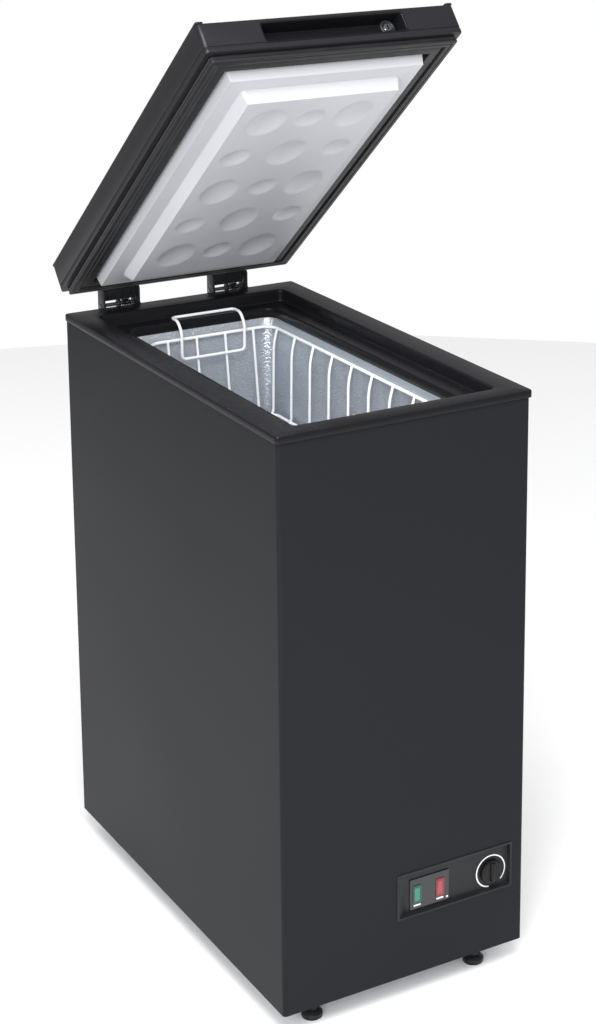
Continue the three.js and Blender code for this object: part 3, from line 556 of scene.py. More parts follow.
@dataclass(frozen=True)
class Finish:
    """A real finish: its colour and shine, and the relief and unevenness that its making leaves."""

    name: str
    colour: str
    shade: str
    roughness: float
    grain: Grain
    grain_mm: float
    depth_mm: float
    metallic: float = 0.0
    ior: float = 1.5
    specular: float = 0.5
    coat: float = 0.0
    rough_spread: float = 0.06
    patch_mm: float = 60.0

    def relief(self, tree: bpy.types.NodeTree, place: bpy.types.NodeSocket) -> bpy.types.NodeSocket:
        """The height pattern of this finish's grain.

        Args:
            tree: the material's tree.
            place: the Object coordinates.

        Returns:
            The pattern's output, about 0 to 1.
        """
        scale = 1.0 / (self.grain_mm * MM)
        if self.grain is Grain.STUCCO:
            soft = {"Vector": place, "Scale": scale, "Smoothness": 0.6, "Randomness": 1.0}
            cells = add_node(tree, "TexVoronoi", {"feature": "SMOOTH_F1"}, soft)
            noise = add_node(tree, "TexNoise", {}, {"Vector": place, "Scale": scale * 1.7, "Detail": 2.0})
            both = {0: cells.outputs["Distance"], 1: noise.outputs["Fac"]}
            return add_node(tree, "Math", {"operation": "ADD"}, both).outputs[0]
        if self.grain is Grain.BRUSHED:
            stretch = add_node(tree, "Mapping", {}, {"Vector": place, "Scale": (0.04, 1.0, 1.0)}).outputs[0]
            lines = add_node(tree, "TexNoise", {}, {"Vector": stretch, "Scale": scale, "Detail": 3.0})
            return lines.outputs["Fac"]
        if self.grain is Grain.CELLS:
            return add_node(tree, "TexVoronoi", {}, {"Vector": place, "Scale": scale}).outputs["Distance"]
        detail = 1.0 if self.grain is Grain.PEEL else 4.0
        noise = add_node(tree, "TexNoise", {}, {"Vector": place, "Scale": scale, "Detail": detail})
        return noise.outputs["Fac"]

    def material(self) -> bpy.types.Material:
        """The finish as a material, made once and then used again."""
        known = bpy.data.materials.get(self.name)
        if known:
            return known
        made = bpy.data.materials.new(self.name)
        made.use_nodes = True
        tree = made.node_tree
        shader = tree.nodes["Principled BSDF"]
        place = add_node(tree, "TexCoord", {}, {}).outputs["Object"]
        spots = {"Vector": place, "Scale": 1000.0 / self.patch_mm, "Detail": 3.0}
        patches = add_node(tree, "TexNoise", {}, spots).outputs["Fac"]
        hues = {0: patches, 6: linear(self.colour), 7: linear(self.shade)}
        tint = add_node(tree, "Mix", {"data_type": "RGBA"}, hues)
        low, high = max(self.roughness - self.rough_spread, 0.02), self.roughness + self.rough_spread
        spread = add_node(tree, "MapRange", {}, {0: patches, 1: 0.3, 2: 0.7, 3: low, 4: high})
        dents = {"Height": self.relief(tree, place), "Distance": self.depth_mm * MM, "Strength": 1.0}
        bump = add_node(tree, "Bump", {}, dents)
        tree.links.new(tint.outputs[2], shader.inputs["Base Color"])
        tree.links.new(spread.outputs[0], shader.inputs["Roughness"])
        tree.links.new(bump.outputs[0], shader.inputs["Normal"])
        shader.inputs["Metallic"].default_value = self.metallic
        if self.metallic < 0.5:
            shader.inputs["IOR"].default_value = self.ior
        shader.inputs["Specular IOR Level"].default_value = self.specular
        shader.inputs["Coat Weight"].default_value = self.coat
        shader.inputs["Coat Roughness"].default_value = COAT_ROUGHNESS
        return made


# Charcoal polyester powder coat on sheet steel: a soft sheen broken by a fine orange peel.
POWDER_COAT = Finish(
    "charcoal_powder_coat", "1e1f22", "1b1c1f", 0.42, Grain.PEEL, 2.2, 0.008, specular=0.09,
    rough_spread=0.02, patch_mm=420.0,
)
# Gloss-black injection-moulded ABS: a clear mirror-like skin with the faintest waviness.
GLOSS_ABS = Finish(
    "gloss_black_abs", "18181b", "151518", 0.27, Grain.PEEL, 9.0, 0.008, specular=0.17, rough_spread=0.03,
    patch_mm=120.0,
)
# Black ABS on the lid's shell: the same plastic as the gloss rim with a broader sheen, and a paler colour
# that is painted light, so that the shell reads brighter.
LIT_SATIN_ABS = Finish(
    "satin_black_abs_painted_lighter", "1e1e22", "1b1b1f", 0.38, Grain.PEEL, 7.0, 0.01, specular=0.3, rough_spread=0.03,
    patch_mm=150.0,
)
# Spark-eroded black ABS: a fine even matt grain that scatters the light.
MATT_ABS = Finish(
    "matt_black_abs", "1a1b1e", "161719", 0.42, Grain.SPARK, 0.9, 0.02, specular=0.3, patch_mm=35.0,
)
# Vacuum-formed white high-impact polystyrene: satin, and slightly uneven where it stretched.
FORMED_HIPS = Finish(
    "vacuum_formed_white_hips", "c3c4c8", "bbbcc1", 0.36, Grain.PEEL, 5.0, 0.02, patch_mm=120.0,
)
# Stucco-embossed aluminium sheet: bright pebbles a few millimetres across that break up reflections.
STUCCO = Finish(
    "stucco_aluminium", "ccd2d9", "b2b9c2", 0.34, Grain.STUCCO, 3.2, 0.6, metallic=0.65, patch_mm=40.0
)
# Epoxy-dipped steel wire: thick smooth white coating, softly glossy.
DIPPED_WIRE = Finish(
    "white_dipped_wire", "fafbfd", "f4f5f8", 0.25, Grain.PEEL, 3.0, 0.02, coat=0.3, patch_mm=30.0,
)
# Spring steel, blued dark by its heat treatment.
SPRING_STEEL = Finish(
    "blued_spring_steel", "3a3b3f", "2e2f33", 0.35, Grain.BRUSHED, 0.5, 0.01, metallic=1.0, patch_mm=8.0,
)
# Deep black nylon knob: a moulded part with a little more shine than the panel behind it.
KNOB_NYLON = Finish(
    "black_nylon", "0c0c0e", "09090a", 0.35, Grain.SPARK, 0.8, 0.02, specular=0.25, patch_mm=12.0,
)
# Soft black PVC seal: dull, with a slight bloom.
SEAL_PVC = Finish("black_pvc_seal", "121214", "171719", 0.5, Grain.SPARK, 1.2, 0.03, patch_mm=25.0)
# Black electrophoretic enamel on pressed steel: smooth satin.
BLACK_ENAMEL = Finish(
    "black_enamelled_steel", "2e2f32", "252629", 0.3, Grain.PEEL, 2.5, 0.02, patch_mm=20.0,
)
# Bright zinc plate: greyish metal with cloudy patches.
ZINC = Finish(
    "bright_zinc_plate", "a9adb1", "92969b", 0.3, Grain.SPARK, 1.0, 0.02, metallic=1.0, patch_mm=15.0,
)
# Dull nickel plate on the lock's cylinder.
NICKEL = Finish(
    "nickel_plate", "a0a3a8", "8b8e93", 0.18, Grain.BRUSHED, 0.4, 0.01, metallic=1.0, patch_mm=8.0,
)
# Drawn copper tube, dulled by handling.
COPPER = Finish(
    "drawn_copper", "b9714a", "9a5a3a", 0.36, Grain.BRUSHED, 0.8, 0.02, metallic=1.0, patch_mm=12.0,
)
# Rigid polyurethane foam: pale yellow with open cut cells.
FOAM = Finish("polyurethane_foam", "d8c68d", "c9b478", 0.9, Grain.CELLS, 1.4, 0.3, patch_mm=30.0)
# Clear-tinted polycarbonate lamp lenses.
GREEN_LENS = Finish(
    "green_lamp_lens", "0f4638", "0b382c", 0.2, Grain.PEEL, 4.0, 0.02, ior=1.58, patch_mm=9.0
)
RED_LENS = Finish("red_lamp_lens", "7a222c", "5f1921", 0.2, Grain.PEEL, 4.0, 0.02, ior=1.58, patch_mm=9.0)
GREEN_CORE = Finish("green_lamp_core", "33806a", "266f59", 0.3, Grain.PEEL, 4.0, 0.02, patch_mm=9.0)
RED_CORE = Finish("red_lamp_core", "9c454e", "883942", 0.3, Grain.PEEL, 4.0, 0.02, patch_mm=9.0)
# Dark smoked acrylic round the lamps.
LAMP_ACRYLIC = Finish(
    "smoked_acrylic", "1a1b1e", "141517", 0.16, Grain.PEEL, 12.0, 0.01, coat=0.3, patch_mm=40.0,
)
# Screen-printed white ink.
WHITE_INK = Finish("white_screen_ink", "eceded", "dddee0", 0.45, Grain.SPARK, 0.6, 0.02, patch_mm=6.0)
# Pale studio floor paint.
FLOOR_PAINT = Finish("pale_floor_paint", "fafafb", "f7f7f8", 0.7, Grain.PEEL, 6.0, 0.02, patch_mm=900.0)


@dataclass
class Shop:
    """What every sub-assembly needs to build: the frame and its datum."""

    frame: dict
    datum: Datum

    def dress(
        self, obj: bpy.types.Object, finish: Finish, body: str, slot: str, nodes: Sequence[str] = ()
    ) -> bpy.types.Object:
        """Gives a piece its finish, its body and the CAD nodes that it stands for.

        Args:
            obj: the piece.
            finish: its finish.
            body: the CAD body that it moves with.
            slot: the record's material slot; not used.
            nodes: CAD nodes that it stands for.

        Returns:
            The piece.
        """
        obj.data.materials.clear()
        obj.data.materials.append(finish.material())
        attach(obj, body)
        if nodes:
            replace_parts(obj, *nodes)
        log.info("%s: %d faces, %s", obj.name, len(obj.data.polygons), finish.name)
        return obj

    def make(
        self, name: str, surface: Surface, finish: Finish, body: str, slot: str, nodes: Sequence[str] = (),
        cuts: Sequence[Surface] = (), smooth: float = SMOOTH,
    ) -> None:
        """Makes a piece from a surface and dresses it.

        Args:
            name: the piece's name.
            surface: its closed surface. A piece on the lid or the lock is drawn with the lid shut.
            finish: its finish.
            body: the CAD body that it moves with.
            slot: the record's material slot.
            nodes: CAD nodes that it stands for.
            cuts: closed surfaces to take out of it.
            smooth: edges sharper than this many degrees stay sharp.
        """
        place = self.datum.lid if body in ("lid", "lock") else self.datum.cabinet
        obj = shape(name, surface, place, smooth)
        if cuts:
            carved(obj, [shape("tool", tool, place) for tool in cuts])
        self.dress(obj, finish, body, slot, nodes)

    def repaint(self, finish: Finish, *nodes: str) -> None:
        """Gives CAD nodes that stay as they are a finish.

        Args:
            finish: the finish.
            nodes: the CAD nodes.
        """
        for node in nodes:
            mesh = self.frame["nodes"][node].data
            mesh.materials.clear()
            mesh.materials.append(finish.material())
        log.info("%s on %s", finish.name, ", ".join(nodes))


# ---- cabinet -------------------------------------------------------------------------------------------
@dataclass
class Cabinet:
    """The sheet-steel body, its rim, its lining, its feet and the machine bay."""

    shop: Shop
    gauge: float = 1.0
    corner: float = 5.0
    upper: Station = (147.5, 31.0, 607.0, 9.0)
    lower: Station = (119.0, 60.0, 584.0, 18.0)
    wall: Station = (115.5, 63.5, 580.5, 20.0)
    ledge: float = 760.0
    step_back: float = 396.0
    step_top: float = 266.0
    floor: float = 63.0
    foot_radius: float = 14.0
    control: Station = (-13.0, 162.0, 86.5, 148.0)
    rim: Station = field(init=False)
    rim_top: float = field(init=False)
    collar_foot: float = field(init=False)

    def __post_init__(self) -> None:
        """Takes the rim's outline and heights from the frame."""
        _, half, front, back, self.collar_foot, self.rim_top = self.shop.datum.box("rim_collar")
        self.rim = (half, front, back, self.corner)

    def wrapper(self) -> None:
        """The bent sheet: a U-shaped outline one millimetre thick, drawn up from the bottom edge.

        The outline is two nested quarter-round corners joined by straights, and is closed at the back.
        """
        _, half, front, back, low, high = self.shop.datum.box("outer_wrapper")
        radius = self.corner
        t = np.linspace(0.0, math.pi / 2, 13)

        def side(r: float) -> np.ndarray:
            """Half of the outline at corner radius r, from the middle of the front to the back."""
            centre = np.array([half - radius, front + radius])
            arc = centre + r * np.column_stack([np.sin(t), -np.cos(t)])
            return np.vstack([arc, [centre[0] + r, back]])

        outer, inner = side(radius), side(radius - self.gauge)
        outline = np.vstack([outer, inner[::-1]])
        mirrored = outline[::-1] * np.array([-1.0, 1.0])
        count = len(outer)
        loop = np.vstack([mirrored[-count:], outer, inner[::-1], mirrored[:count]])
        points = np.vstack([np.column_stack([loop, np.full(len(loop), z)]) for z in (low, high)])
        n = len(loop)
        faces = grid_faces(2, n, True) + [tuple(range(n - 1, -1, -1)), tuple(range(n, 2 * n))]
        self.shop.make(
            "sheet_wrapper", Surface(points, faces), POWDER_COAT, "cabinet", "black_paint", ["outer_wrapper"],
            [prism(self.control, 1.0, 6.0, -2.0)],
        )

    def collar(self) -> None:
        """The moulded rim: lip, top, upper wall, ledge and lower wall in one closed profile."""

        def near(base: Station, rows: Sequence[tuple[float, float]]) -> list[tuple[float, ...]]:
            """Stations a little outside (negative) or inside a mouth."""
            half, front, back, radius = base
            return [(half + d, front - d, back + d, radius + d, z) for d, z in rows]

        top, ledge, foot = self.rim_top, self.ledge, self.collar_foot
        outside = inset(
            self.rim,
            [(2.0, top - 9.8), (0.7, top - 10), (0.15, top - 9.6), (0, top - 9), (0, top - 2.2)]
            + [(0.25, top - 1.2), (0.9, top - 0.35), (1.9, top)],
        )
        bend = [(3.4, top), (2.0, top - 0.25), (0.8, top - 1.0), (0.15, top - 2.2), (0, top - 3.5)]
        rolled = near(self.upper, bend)
        well = near(self.upper, [(0, ledge + 2.4), (-0.3, ledge + 1.1), (-1.1, ledge + 0.3), (-2.4, ledge)])
        edge = near(self.lower, [(2.2, ledge), (1.0, ledge - 0.3), (0.3, ledge - 1.0), (0, ledge - 2.2)])
        hem = [(0, foot + 0.8), (0.5, foot), (2.2, foot), (2.5, foot + 0.6), (2.5, ledge - 2.8)]
        tail = near(self.lower, hem)
        under = near(self.upper, [(2.4, ledge - 2.8), (2.4, top - 3.0)])
        back_in = inset(self.rim, [(2.2, top - 3.0)])
        rows = outside + rolled + well + edge + tail + under + back_in
        body = loft(rows, ring=True, arc=10)
        self.shop.make("rim_moulding", body, GLOSS_ABS, "cabinet", "gloss_black", ["rim_collar"])

    def lining(self) -> None:
        """The stucco tub: a lip that slopes in, straight walls, a step over the machine bay and a floor."""
        half, front, back, radius = self.wall
        lip = self.collar_foot - 0.4
        skin = [
            (119.0, 60.0, 584.0, 18.0, lip),
            (118.4, 60.6, 583.4, 18.2, lip - 1.5),
            (116.0, 63.0, 581.0, 19.8, lip - 8.4),
            (half, front, back, radius, lip - 10.5),
        ]
        turns = [(1 - math.sin(t), 1 - math.cos(t)) for t in np.linspace(0.0, math.pi / 2, 6)]
        step = [
            (half - 0.6 - 0.01 * i, front + 0.5, back - 10 * far, radius, self.step_top + 10 * near)
            for i, (near, far) in enumerate(turns)
        ]
        low = [
            (half - 1.0, front + 1.0, self.step_back + 3 * near, radius, self.step_top - 3 * far)
            for near, far in turns
        ]
        bottom = [
            (half - 1.2 - 9 * far, front + 1.2 + 9 * far, self.step_back - 9 * far)
            + (radius, self.floor + 9 * near)
            for near, far in turns
        ]
        inner = skin + step + low + bottom
        gauge = 0.8
        outer = [(h + gauge, f - gauge, b + gauge, r + gauge, z) for h, f, b, r, z in inner[1:]]
        outer = [(h, f, b, r, z - (gauge if z < lip - 20 else 0.0)) for h, f, b, r, z in outer]
        outer.insert(0, (119.8, 59.2, 584.8, 18.8, lip))
        body = loft(outer[::-1] + inner, arc=10)
        self.shop.make("stucco_tub", body, STUCCO, "cabinet", "aluminium", ["liner"])

    def foot(self, node: str) -> None:
        """One levelling foot: a turned pad, a hexagon and a stud whose radius is a sine of its height.

        Args:
            node: the CAD foot.
        """
        low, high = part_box(node)
        r = self.foot_radius
        pad = [(0, 0), (r - 2.0, 0), (r - 0.6, 0.5), (r, 1.6), (r, 6.4), (r - 0.7, 7.4), (r - 4, 9.4)]
        pad += [(r - 5.2, 10.2), (5.0, 10.4), (0, 10.4)]
        heights = np.linspace(15.5, 43.6, 140)
        thread = 3.7 + 0.22 * np.sin(heights * 2 * math.pi / 1.25)
        stud = [(0, 15.5), *zip(thread, heights), (0, 43.6)]
        nut = turned([(0, 10.4), (7.4, 10.4), (8.0, 11.0), (8.0, 15.0), (7.4, 15.6), (0, 15.6)], sides=6)
        whole = merged([turned(pad), nut, turned(stud, sides=20)])
        centre = (low + high) / 2
        obj = shape(node + "_turned", whole, lambda p: p * MM + np.array([centre.x, centre.y, low.z]))
        self.shop.dress(obj, MATT_ABS, node + "_body", "matt_black", [node])

    def back(self) -> None:
        """The rear: softened copies of the pressed and moulded parts, and finishes on what stays as it is."""
        for node, finish, slot, edge in (
            ("rear_grille", MATT_ABS, "matt_black", 0.5),
            ("cord_gland", SEAL_PVC, "rubber", 0.5),
            ("base_pan", ZINC, "zinc", 0.3),
        ):
            self.shop.dress(softened(node, self.shop.frame, edge), finish, "cabinet", slot)
        self.shop.repaint(POWDER_COAT, "rear_panel")
        self.shop.repaint(FOAM, "foam_body")
        self.shop.repaint(ZINC, "bay_lining", "compressor_rails", "compressor_cradle")
        self.shop.repaint(COPPER, "evaporator_coil", "condenser_coil", "filter_drier")
        self.shop.repaint(COPPER, "discharge_tube", "suction_tube")
        self.shop.repaint(BLACK_ENAMEL, "compressor")
        self.shop.repaint(MATT_ABS, "relay_cover", "control_box", "lamp_holder")
        corners = [f"grommet_{end}_{side}" for end in ("front", "back") for side in ("left", "right")]
        self.shop.repaint(SEAL_PVC, *corners)

    def build(self) -> None:
        """Builds and dresses the whole cabinet."""
        self.wrapper()
        self.collar()
        self.lining()
        for end in ("front", "back"):
            for side in ("left", "right"):
                self.foot(f"foot_{end}_{side}")
        self.back()


# ---- control panel -------------------------------------------------------------------------------------
@dataclass
class ControlPanel:
    """The recessed panel with two lamps and the temperature knob."""

    shop: Shop
    face: float = 8.5
    lip: float = 1.3
    scale_radius: float = 22.4
    sides: Station = field(init=False)
    plate: Station = field(init=False)
    lamps: tuple[float, ...] = field(init=False)
    lamp_z: float = field(init=False)
    lamp_half: tuple[float, float] = field(init=False)
    knob: tuple[float, float] = field(init=False)
    knob_radius: float = field(init=False)

    def __post_init__(self) -> None:
        """Takes the places of the pod, the plate, the lamps and the knob from the frame."""
        box = self.shop.datum.box
        pod, plate, knob = box("control_bezel"), box("lamp_plate"), box("temperature_knob")
        self.sides, self.plate = pod[:2] + pod[4:], plate[:2] + plate[4:]
        lamps = [box("lamp_green"), box("lamp_red")]
        self.lamps = tuple((lamp[0] + lamp[1]) / 2 for lamp in lamps)
        left, right, _, _, foot, top = lamps[0]
        self.lamp_z = (foot + top) / 2
        self.lamp_half = ((right - left) / 2, (top - foot) / 2)
        self.knob = ((knob[0] + knob[1]) / 2, (knob[4] + knob[5]) / 2)
        self.knob_radius = (knob[1] - knob[0]) / 2

    def bezel(self) -> None:
        """The pod: a thin flange, a ramp on the left and below, and a flat floor with its openings."""
        lip, face = self.lip, self.face
        rows = [
            (2.3, 2.3, 2.3, 2.3, 1.5, 10.5),
            (2.3, 2.3, 2.3, 2.3, 1.5, 2.2),
            (0.2, 0.2, 0.2, 0.2, 2.0, 2.2),
            (0, 0, 0, 0, 2.0, lip + 0.4),
            (0.3, 0.3, 0.3, 0.3, 2.0, lip + 0.1),
            (0.9, 0.9, 0.9, 0.9, 2.0, lip),
            (2.4, 2.4, 2.4, 2.4, 1.6, lip),
            (3.0, 3.0, 3.0, 3.0, 1.5, lip + 0.3),
            (4.2, 3.2, 3.1, 3.2, 1.5, lip + 1.1),
            (15.5, 3.9, 3.5, 3.9, 1.5, face - 0.6),
            (16.5, 4.4, 3.7, 4.4, 1.5, face - 0.15),
            (18.0, 5.0, 4.0, 5.0, 1.5, face),
        ]
        shaft = facing(turned([(0, -12.0), (4.2, -12.0), (4.2, -4.0), (0, -4.0)], 32))
        self.shop.make(
            "control_pod", pane(self.sides, rows), MATT_ABS, "cabinet", "matt_black", ["control_bezel"],
            [*self.lamp_holes(0.3, 0.6), shaft.shifted(self.knob[0], 0.0, self.knob[1])],
        )

    def lamp_holes(self, gap: float, radius: float) -> list[Surface]:
        """The tools for the lamps' holes.

        Args:
            gap: how much wider than the lamps they are all round.
            radius: their corner radius.

        Returns:
            One closed tool for each lamp.
        """
        w, h = (half + gap for half in self.lamp_half)
        z = self.lamp_z
        return [prism((x - w, x + w, z - h, z + h), radius, 12.0, 4.0) for x in self.lamps]

    def lamp_window(self) -> None:
        """The smoked plate, with a hole for each lamp and a fine raised edge."""
        y = self.face
        rows = [(0, 0, 0, 0, 1.2, y - 0.1), (0, 0, 0, 0, 1.2, y - 1.2), (0.3, 0.3, 0.3, 0.3, 1.2, y - 1.5)]
        self.shop.make(
            "lamp_window", pane(self.plate, rows), LAMP_ACRYLIC, "cabinet", "gloss_black", ["lamp_plate"],
            self.lamp_holes(0.2, 0.8),
        )

    def lamp(self, node: str, x: float, lens: Finish, core: Finish, slot: str) -> None:
        """One lamp: a dark tinted block and the bright bar on its face, domed as a quarter ellipse.

        Args:
            node: the CAD lamp.
            x: its middle.
            lens: the block's finish.
            core: the bar's finish.
            slot: the record's material slot for both.
        """
        w, h = self.lamp_half
        z, y = self.lamp_z, self.face
        rows = [(0, 0, 0, 0, 0.8, y + 4.0), (0, 0, 0, 0, 0.8, y - 2.2)]
        rows += [(d, d, d, d, 0.8, y - depth) for d, depth in ((0.3, 2.6), (0.9, 2.8))]
        block = pane((x - w, x + w, z - h, z + h), rows)
        self.shop.make(node + "_block", block, lens, "cabinet", slot, [node])
        t = np.linspace(0.0, math.pi / 2, 5)
        rows = [(0, 0, 0, 0, 1.5, y - 2.4)]
        rows += [(s, s, s, s, 1.5, y - 2.7 - d) for s, d in zip(1.4 * (1 - np.cos(t)), 0.7 * np.sin(t))]
        bar = pane((x - 4.6, x + 3.4, z - 9.6, z + 9.6), rows)
        self.shop.make(node + "_bar", bar, core, "cabinet", slot)

    def printing(self) -> None:
        """Generic marks in white ink: a bar under each lamp, a dot, and an arc that widens round the knob.

        The arc's half width falls evenly along it, and every mark is a thin closed plate.
        """
        cx, cz = self.knob
        y = self.face - 0.06
        t = np.radians(np.linspace(-97.0, -406.0, 96))
        half = 0.95 - 0.15 * np.linspace(0.0, 1.0, len(t))
        rings = [
            np.column_stack([cx + r * np.cos(t), np.full(len(t), depth), cz + r * np.sin(t)])
            for r, depth in (
                (self.scale_radius + half, y + 0.05),
                (self.scale_radius + half, y),
                (self.scale_radius - half, y),
                (self.scale_radius - half, y + 0.05),
            )
        ]
        n = len(t)
        points = np.stack(rings, axis=1).reshape(-1, 3)
        faces = [tuple(reversed(face)) for face in grid_faces(n, 4, True)]
        arc = Surface(points, faces + [(0, 1, 2, 3), (4 * n - 1, 4 * n - 2, 4 * n - 3, 4 * n - 4)])
        marks = [arc]
        front = self.face - 1.5
        for x in self.lamps:
            sides = (x - 5.4, x + 5.4, self.lamp_z - 17.2, self.lamp_z - 15.0)
            marks.append(prism(sides, 0.6, front + 0.1, front - 0.05))
        dot = turned([(0, -0.1), (1.5, -0.1), (1.5, 0.05), (0, 0.05)], 24)
        marks.append(facing(dot).shifted(self.plate[1] - 3.0, front, self.lamp_z - 17.0))
        self.shop.make("panel_marks", merged(marks), WHITE_INK, "cabinet", "white_abs")

    def dial(self) -> None:
        """The knob: a fluted skirt and a raised grip with rounded ends.

        The skirt's radius is R + a cos(36 t), so that flutes run round its edge.
        """
        cx, cz = self.knob
        r = self.knob_radius
        t = np.linspace(0.0, 2 * math.pi, 216, endpoint=False)
        rows = [(r - 1.0, -7.4, 0.0), (r - 0.3, -7.3, 1.0), (r, -6.6, 1.0), (r, -5.0, 1.0)]
        rows += [(r - 0.4, -4.2, 0.8), (r - 1.4, -3.7, 0.3), (r - 3.0, -3.5, 0.0), (r - 6.0, -3.6, 0.0)]
        rings = []
        for radius, w, flute in rows:
            edge = radius - 0.22 * flute * (1 + np.cos(36 * t))
            rings.append(np.column_stack([edge * np.cos(t), edge * np.sin(t), np.full(len(t), w)]))
        n = len(t)
        top = (len(rows) - 1) * n
        faces = grid_faces(len(rows), n, True) + [tuple(range(n - 1, -1, -1)), tuple(range(top, top + n))]
        skirt = Surface(np.vstack(rings), faces)
        grip = loft([
            (4.2, -14.6, 14.6, 4.0, -3.9),
            (3.7, -14.2, 14.2, 3.6, -2.6),
            (3.1, -13.8, 13.8, 3.0, -1.2),
            (2.7, -13.4, 13.4, 2.6, -0.7),
            (2.0, -12.8, 12.8, 1.9, -0.42),
        ])
        whole = facing(skirt + grip).shifted(cx, 0.0, cz)
        self.shop.make("dial_knob", whole, KNOB_NYLON, "knob", "matt_black", ["temperature_knob"])
        self.shop.repaint(ZINC, "thermostat_shaft")
        self.shop.repaint(FORMED_HIPS, "thermostat_body")

    def build(self) -> None:
        """Builds and dresses the whole panel."""
        self.bezel()
        self.lamp_window()
        self.lamp("lamp_green", self.lamps[0], GREEN_LENS, GREEN_CORE, "green_lens")
        self.lamp("lamp_red", self.lamps[1], RED_LENS, RED_CORE, "red_lens")
        self.printing()
        self.dial()


# ---- basket --------------------------------------------------------------------------------------------
@dataclass
class Basket:
    """The welded wire basket and its two hanging handles."""

    shop: Shop
    half: float = 101.0
    front: float = 71.5
    back: float = 574.0
    rail: float = 735.0
    depth: float = 133.0
    side_taper: float = 8.0
    end_taper: float = 17.0
    wire_radius: float = 1.9
    rail_radius: float = 2.5
    handle_radius: float = 2.2
    cross_first: float = 553.5
    cross_pitch: float = 55.2
    long_pitch: float = 45.9
    ledge: float = 760.0
    gap: float = 0.3
    middle: float = field(init=False)

    def __post_init__(self) -> None:
        """Takes the basket's middle from the frame."""
        left, right, *_ = self.shop.datum.box("basket_floor")
        self.middle = (left + right) / 2

    def outline(self, level: float) -> tuple[float, float, float]:
        """The outline of the basket's walls, which lean in evenly from the rail down.

        Args:
            level: the height.

        Returns:
            Half of the width, the front and the back.
        """
        share = (self.rail - level) / self.depth
        return (
            self.half - share * self.side_taper,
            self.front + share * self.end_taper,
            self.back - share * self.end_taper,
        )

    def hoop(self, level: float) -> Surface:
        """A closed rail round the basket with rounded corners.

        Args:
            level: its height.

        Returns:
            The rail.
        """
        half, front, back = self.outline(level)
        loop = rounded_loop(half, front, back, 20.0, self.middle, 10)
        return wire(np.column_stack([loop, np.full(len(loop), level)]), self.rail_radius, 14, closed=True)

    def cross(self, y: float) -> Surface:
        """A wire bent to a U across the basket, with its ends flared out to the rail.

        Args:
            y: where it crosses.

        Returns:
            The wire.
        """
        low = self.rail - self.depth
        top_half, bottom_half = (self.outline(level)[0] - self.wire_radius for level in (self.rail, low))
        corners = [
            (self.middle - top_half, y, self.rail),
            (self.middle - bottom_half - 2, y, self.rail - 22),
            (self.middle - bottom_half, y, low),
            (self.middle + bottom_half, y, low),
            (self.middle + bottom_half + 2, y, self.rail - 22),
            (self.middle + top_half, y, self.rail),
        ]
        return wire(rounded_path(corners, 12.0), self.wire_radius)

    def lengthwise(self, x: float) -> Surface:
        """A wire bent to a long U from the front rail to the back rail, lying on the cross wires.

        Args:
            x: where it runs.

        Returns:
            The wire.
        """
        low = self.rail - self.depth + 2 * self.wire_radius - 0.3
        _, front, back = self.outline(self.rail)
        _, low_front, low_back = self.outline(self.rail - self.depth)
        r = self.wire_radius
        corners = [
            (x, front + r, self.rail),
            (x, low_front + r, low),
            (x, low_back - r, low),
            (x, back - r, self.rail),
        ]
        return wire(rounded_path(corners, 12.0), r)

    def handle(self, node: str, end: int) -> None:
        """A closed wire loop inside the end wires, bent outwards at the top to hang on the ledge.

        Args:
            node: the CAD handle.
            end: 1 at the back, -1 at the front.
        """
        wall = self.back if end > 0 else self.front
        y = wall - end * 10
        out = 597.0 if end > 0 else 41.0
        bar = self.ledge + self.handle_radius + self.gap
        left, right = self.middle - 50.5, self.middle + 50.5
        corners = [
            (left, y, 708.0), (left, y, 748.5), (left, y + end * 13, bar), (left, out, bar),
            (right, out, bar), (right, y + end * 13, bar), (right, y, 748.5), (right, y, 708.0),
        ]
        path = rounded_path(corners, 7.0, 8, closed=True)
        loop = wire(path, self.handle_radius, 14, closed=True)
        self.shop.make(node + "_wire", loop, DIPPED_WIRE, "basket", "white_wire", [node])

    def build(self) -> None:
        """Builds and dresses the cage and its handles."""
        cage = [self.hoop(level) for level in (self.rail, self.rail - self.depth + 3)]
        cage += [self.cross(self.cross_first - i * self.cross_pitch) for i in range(9)]
        cage += [self.lengthwise(self.middle + (i - 1.5) * self.long_pitch) for i in range(4)]
        grids = [f"basket_{side}" for side in ("floor", "left", "right", "front", "back")]
        self.shop.make("basket_cage", merged(cage), DIPPED_WIRE, "basket", "white_wire", grids)
        self.handle("basket_handle_back", 1)
        self.handle("basket_handle_front", -1)


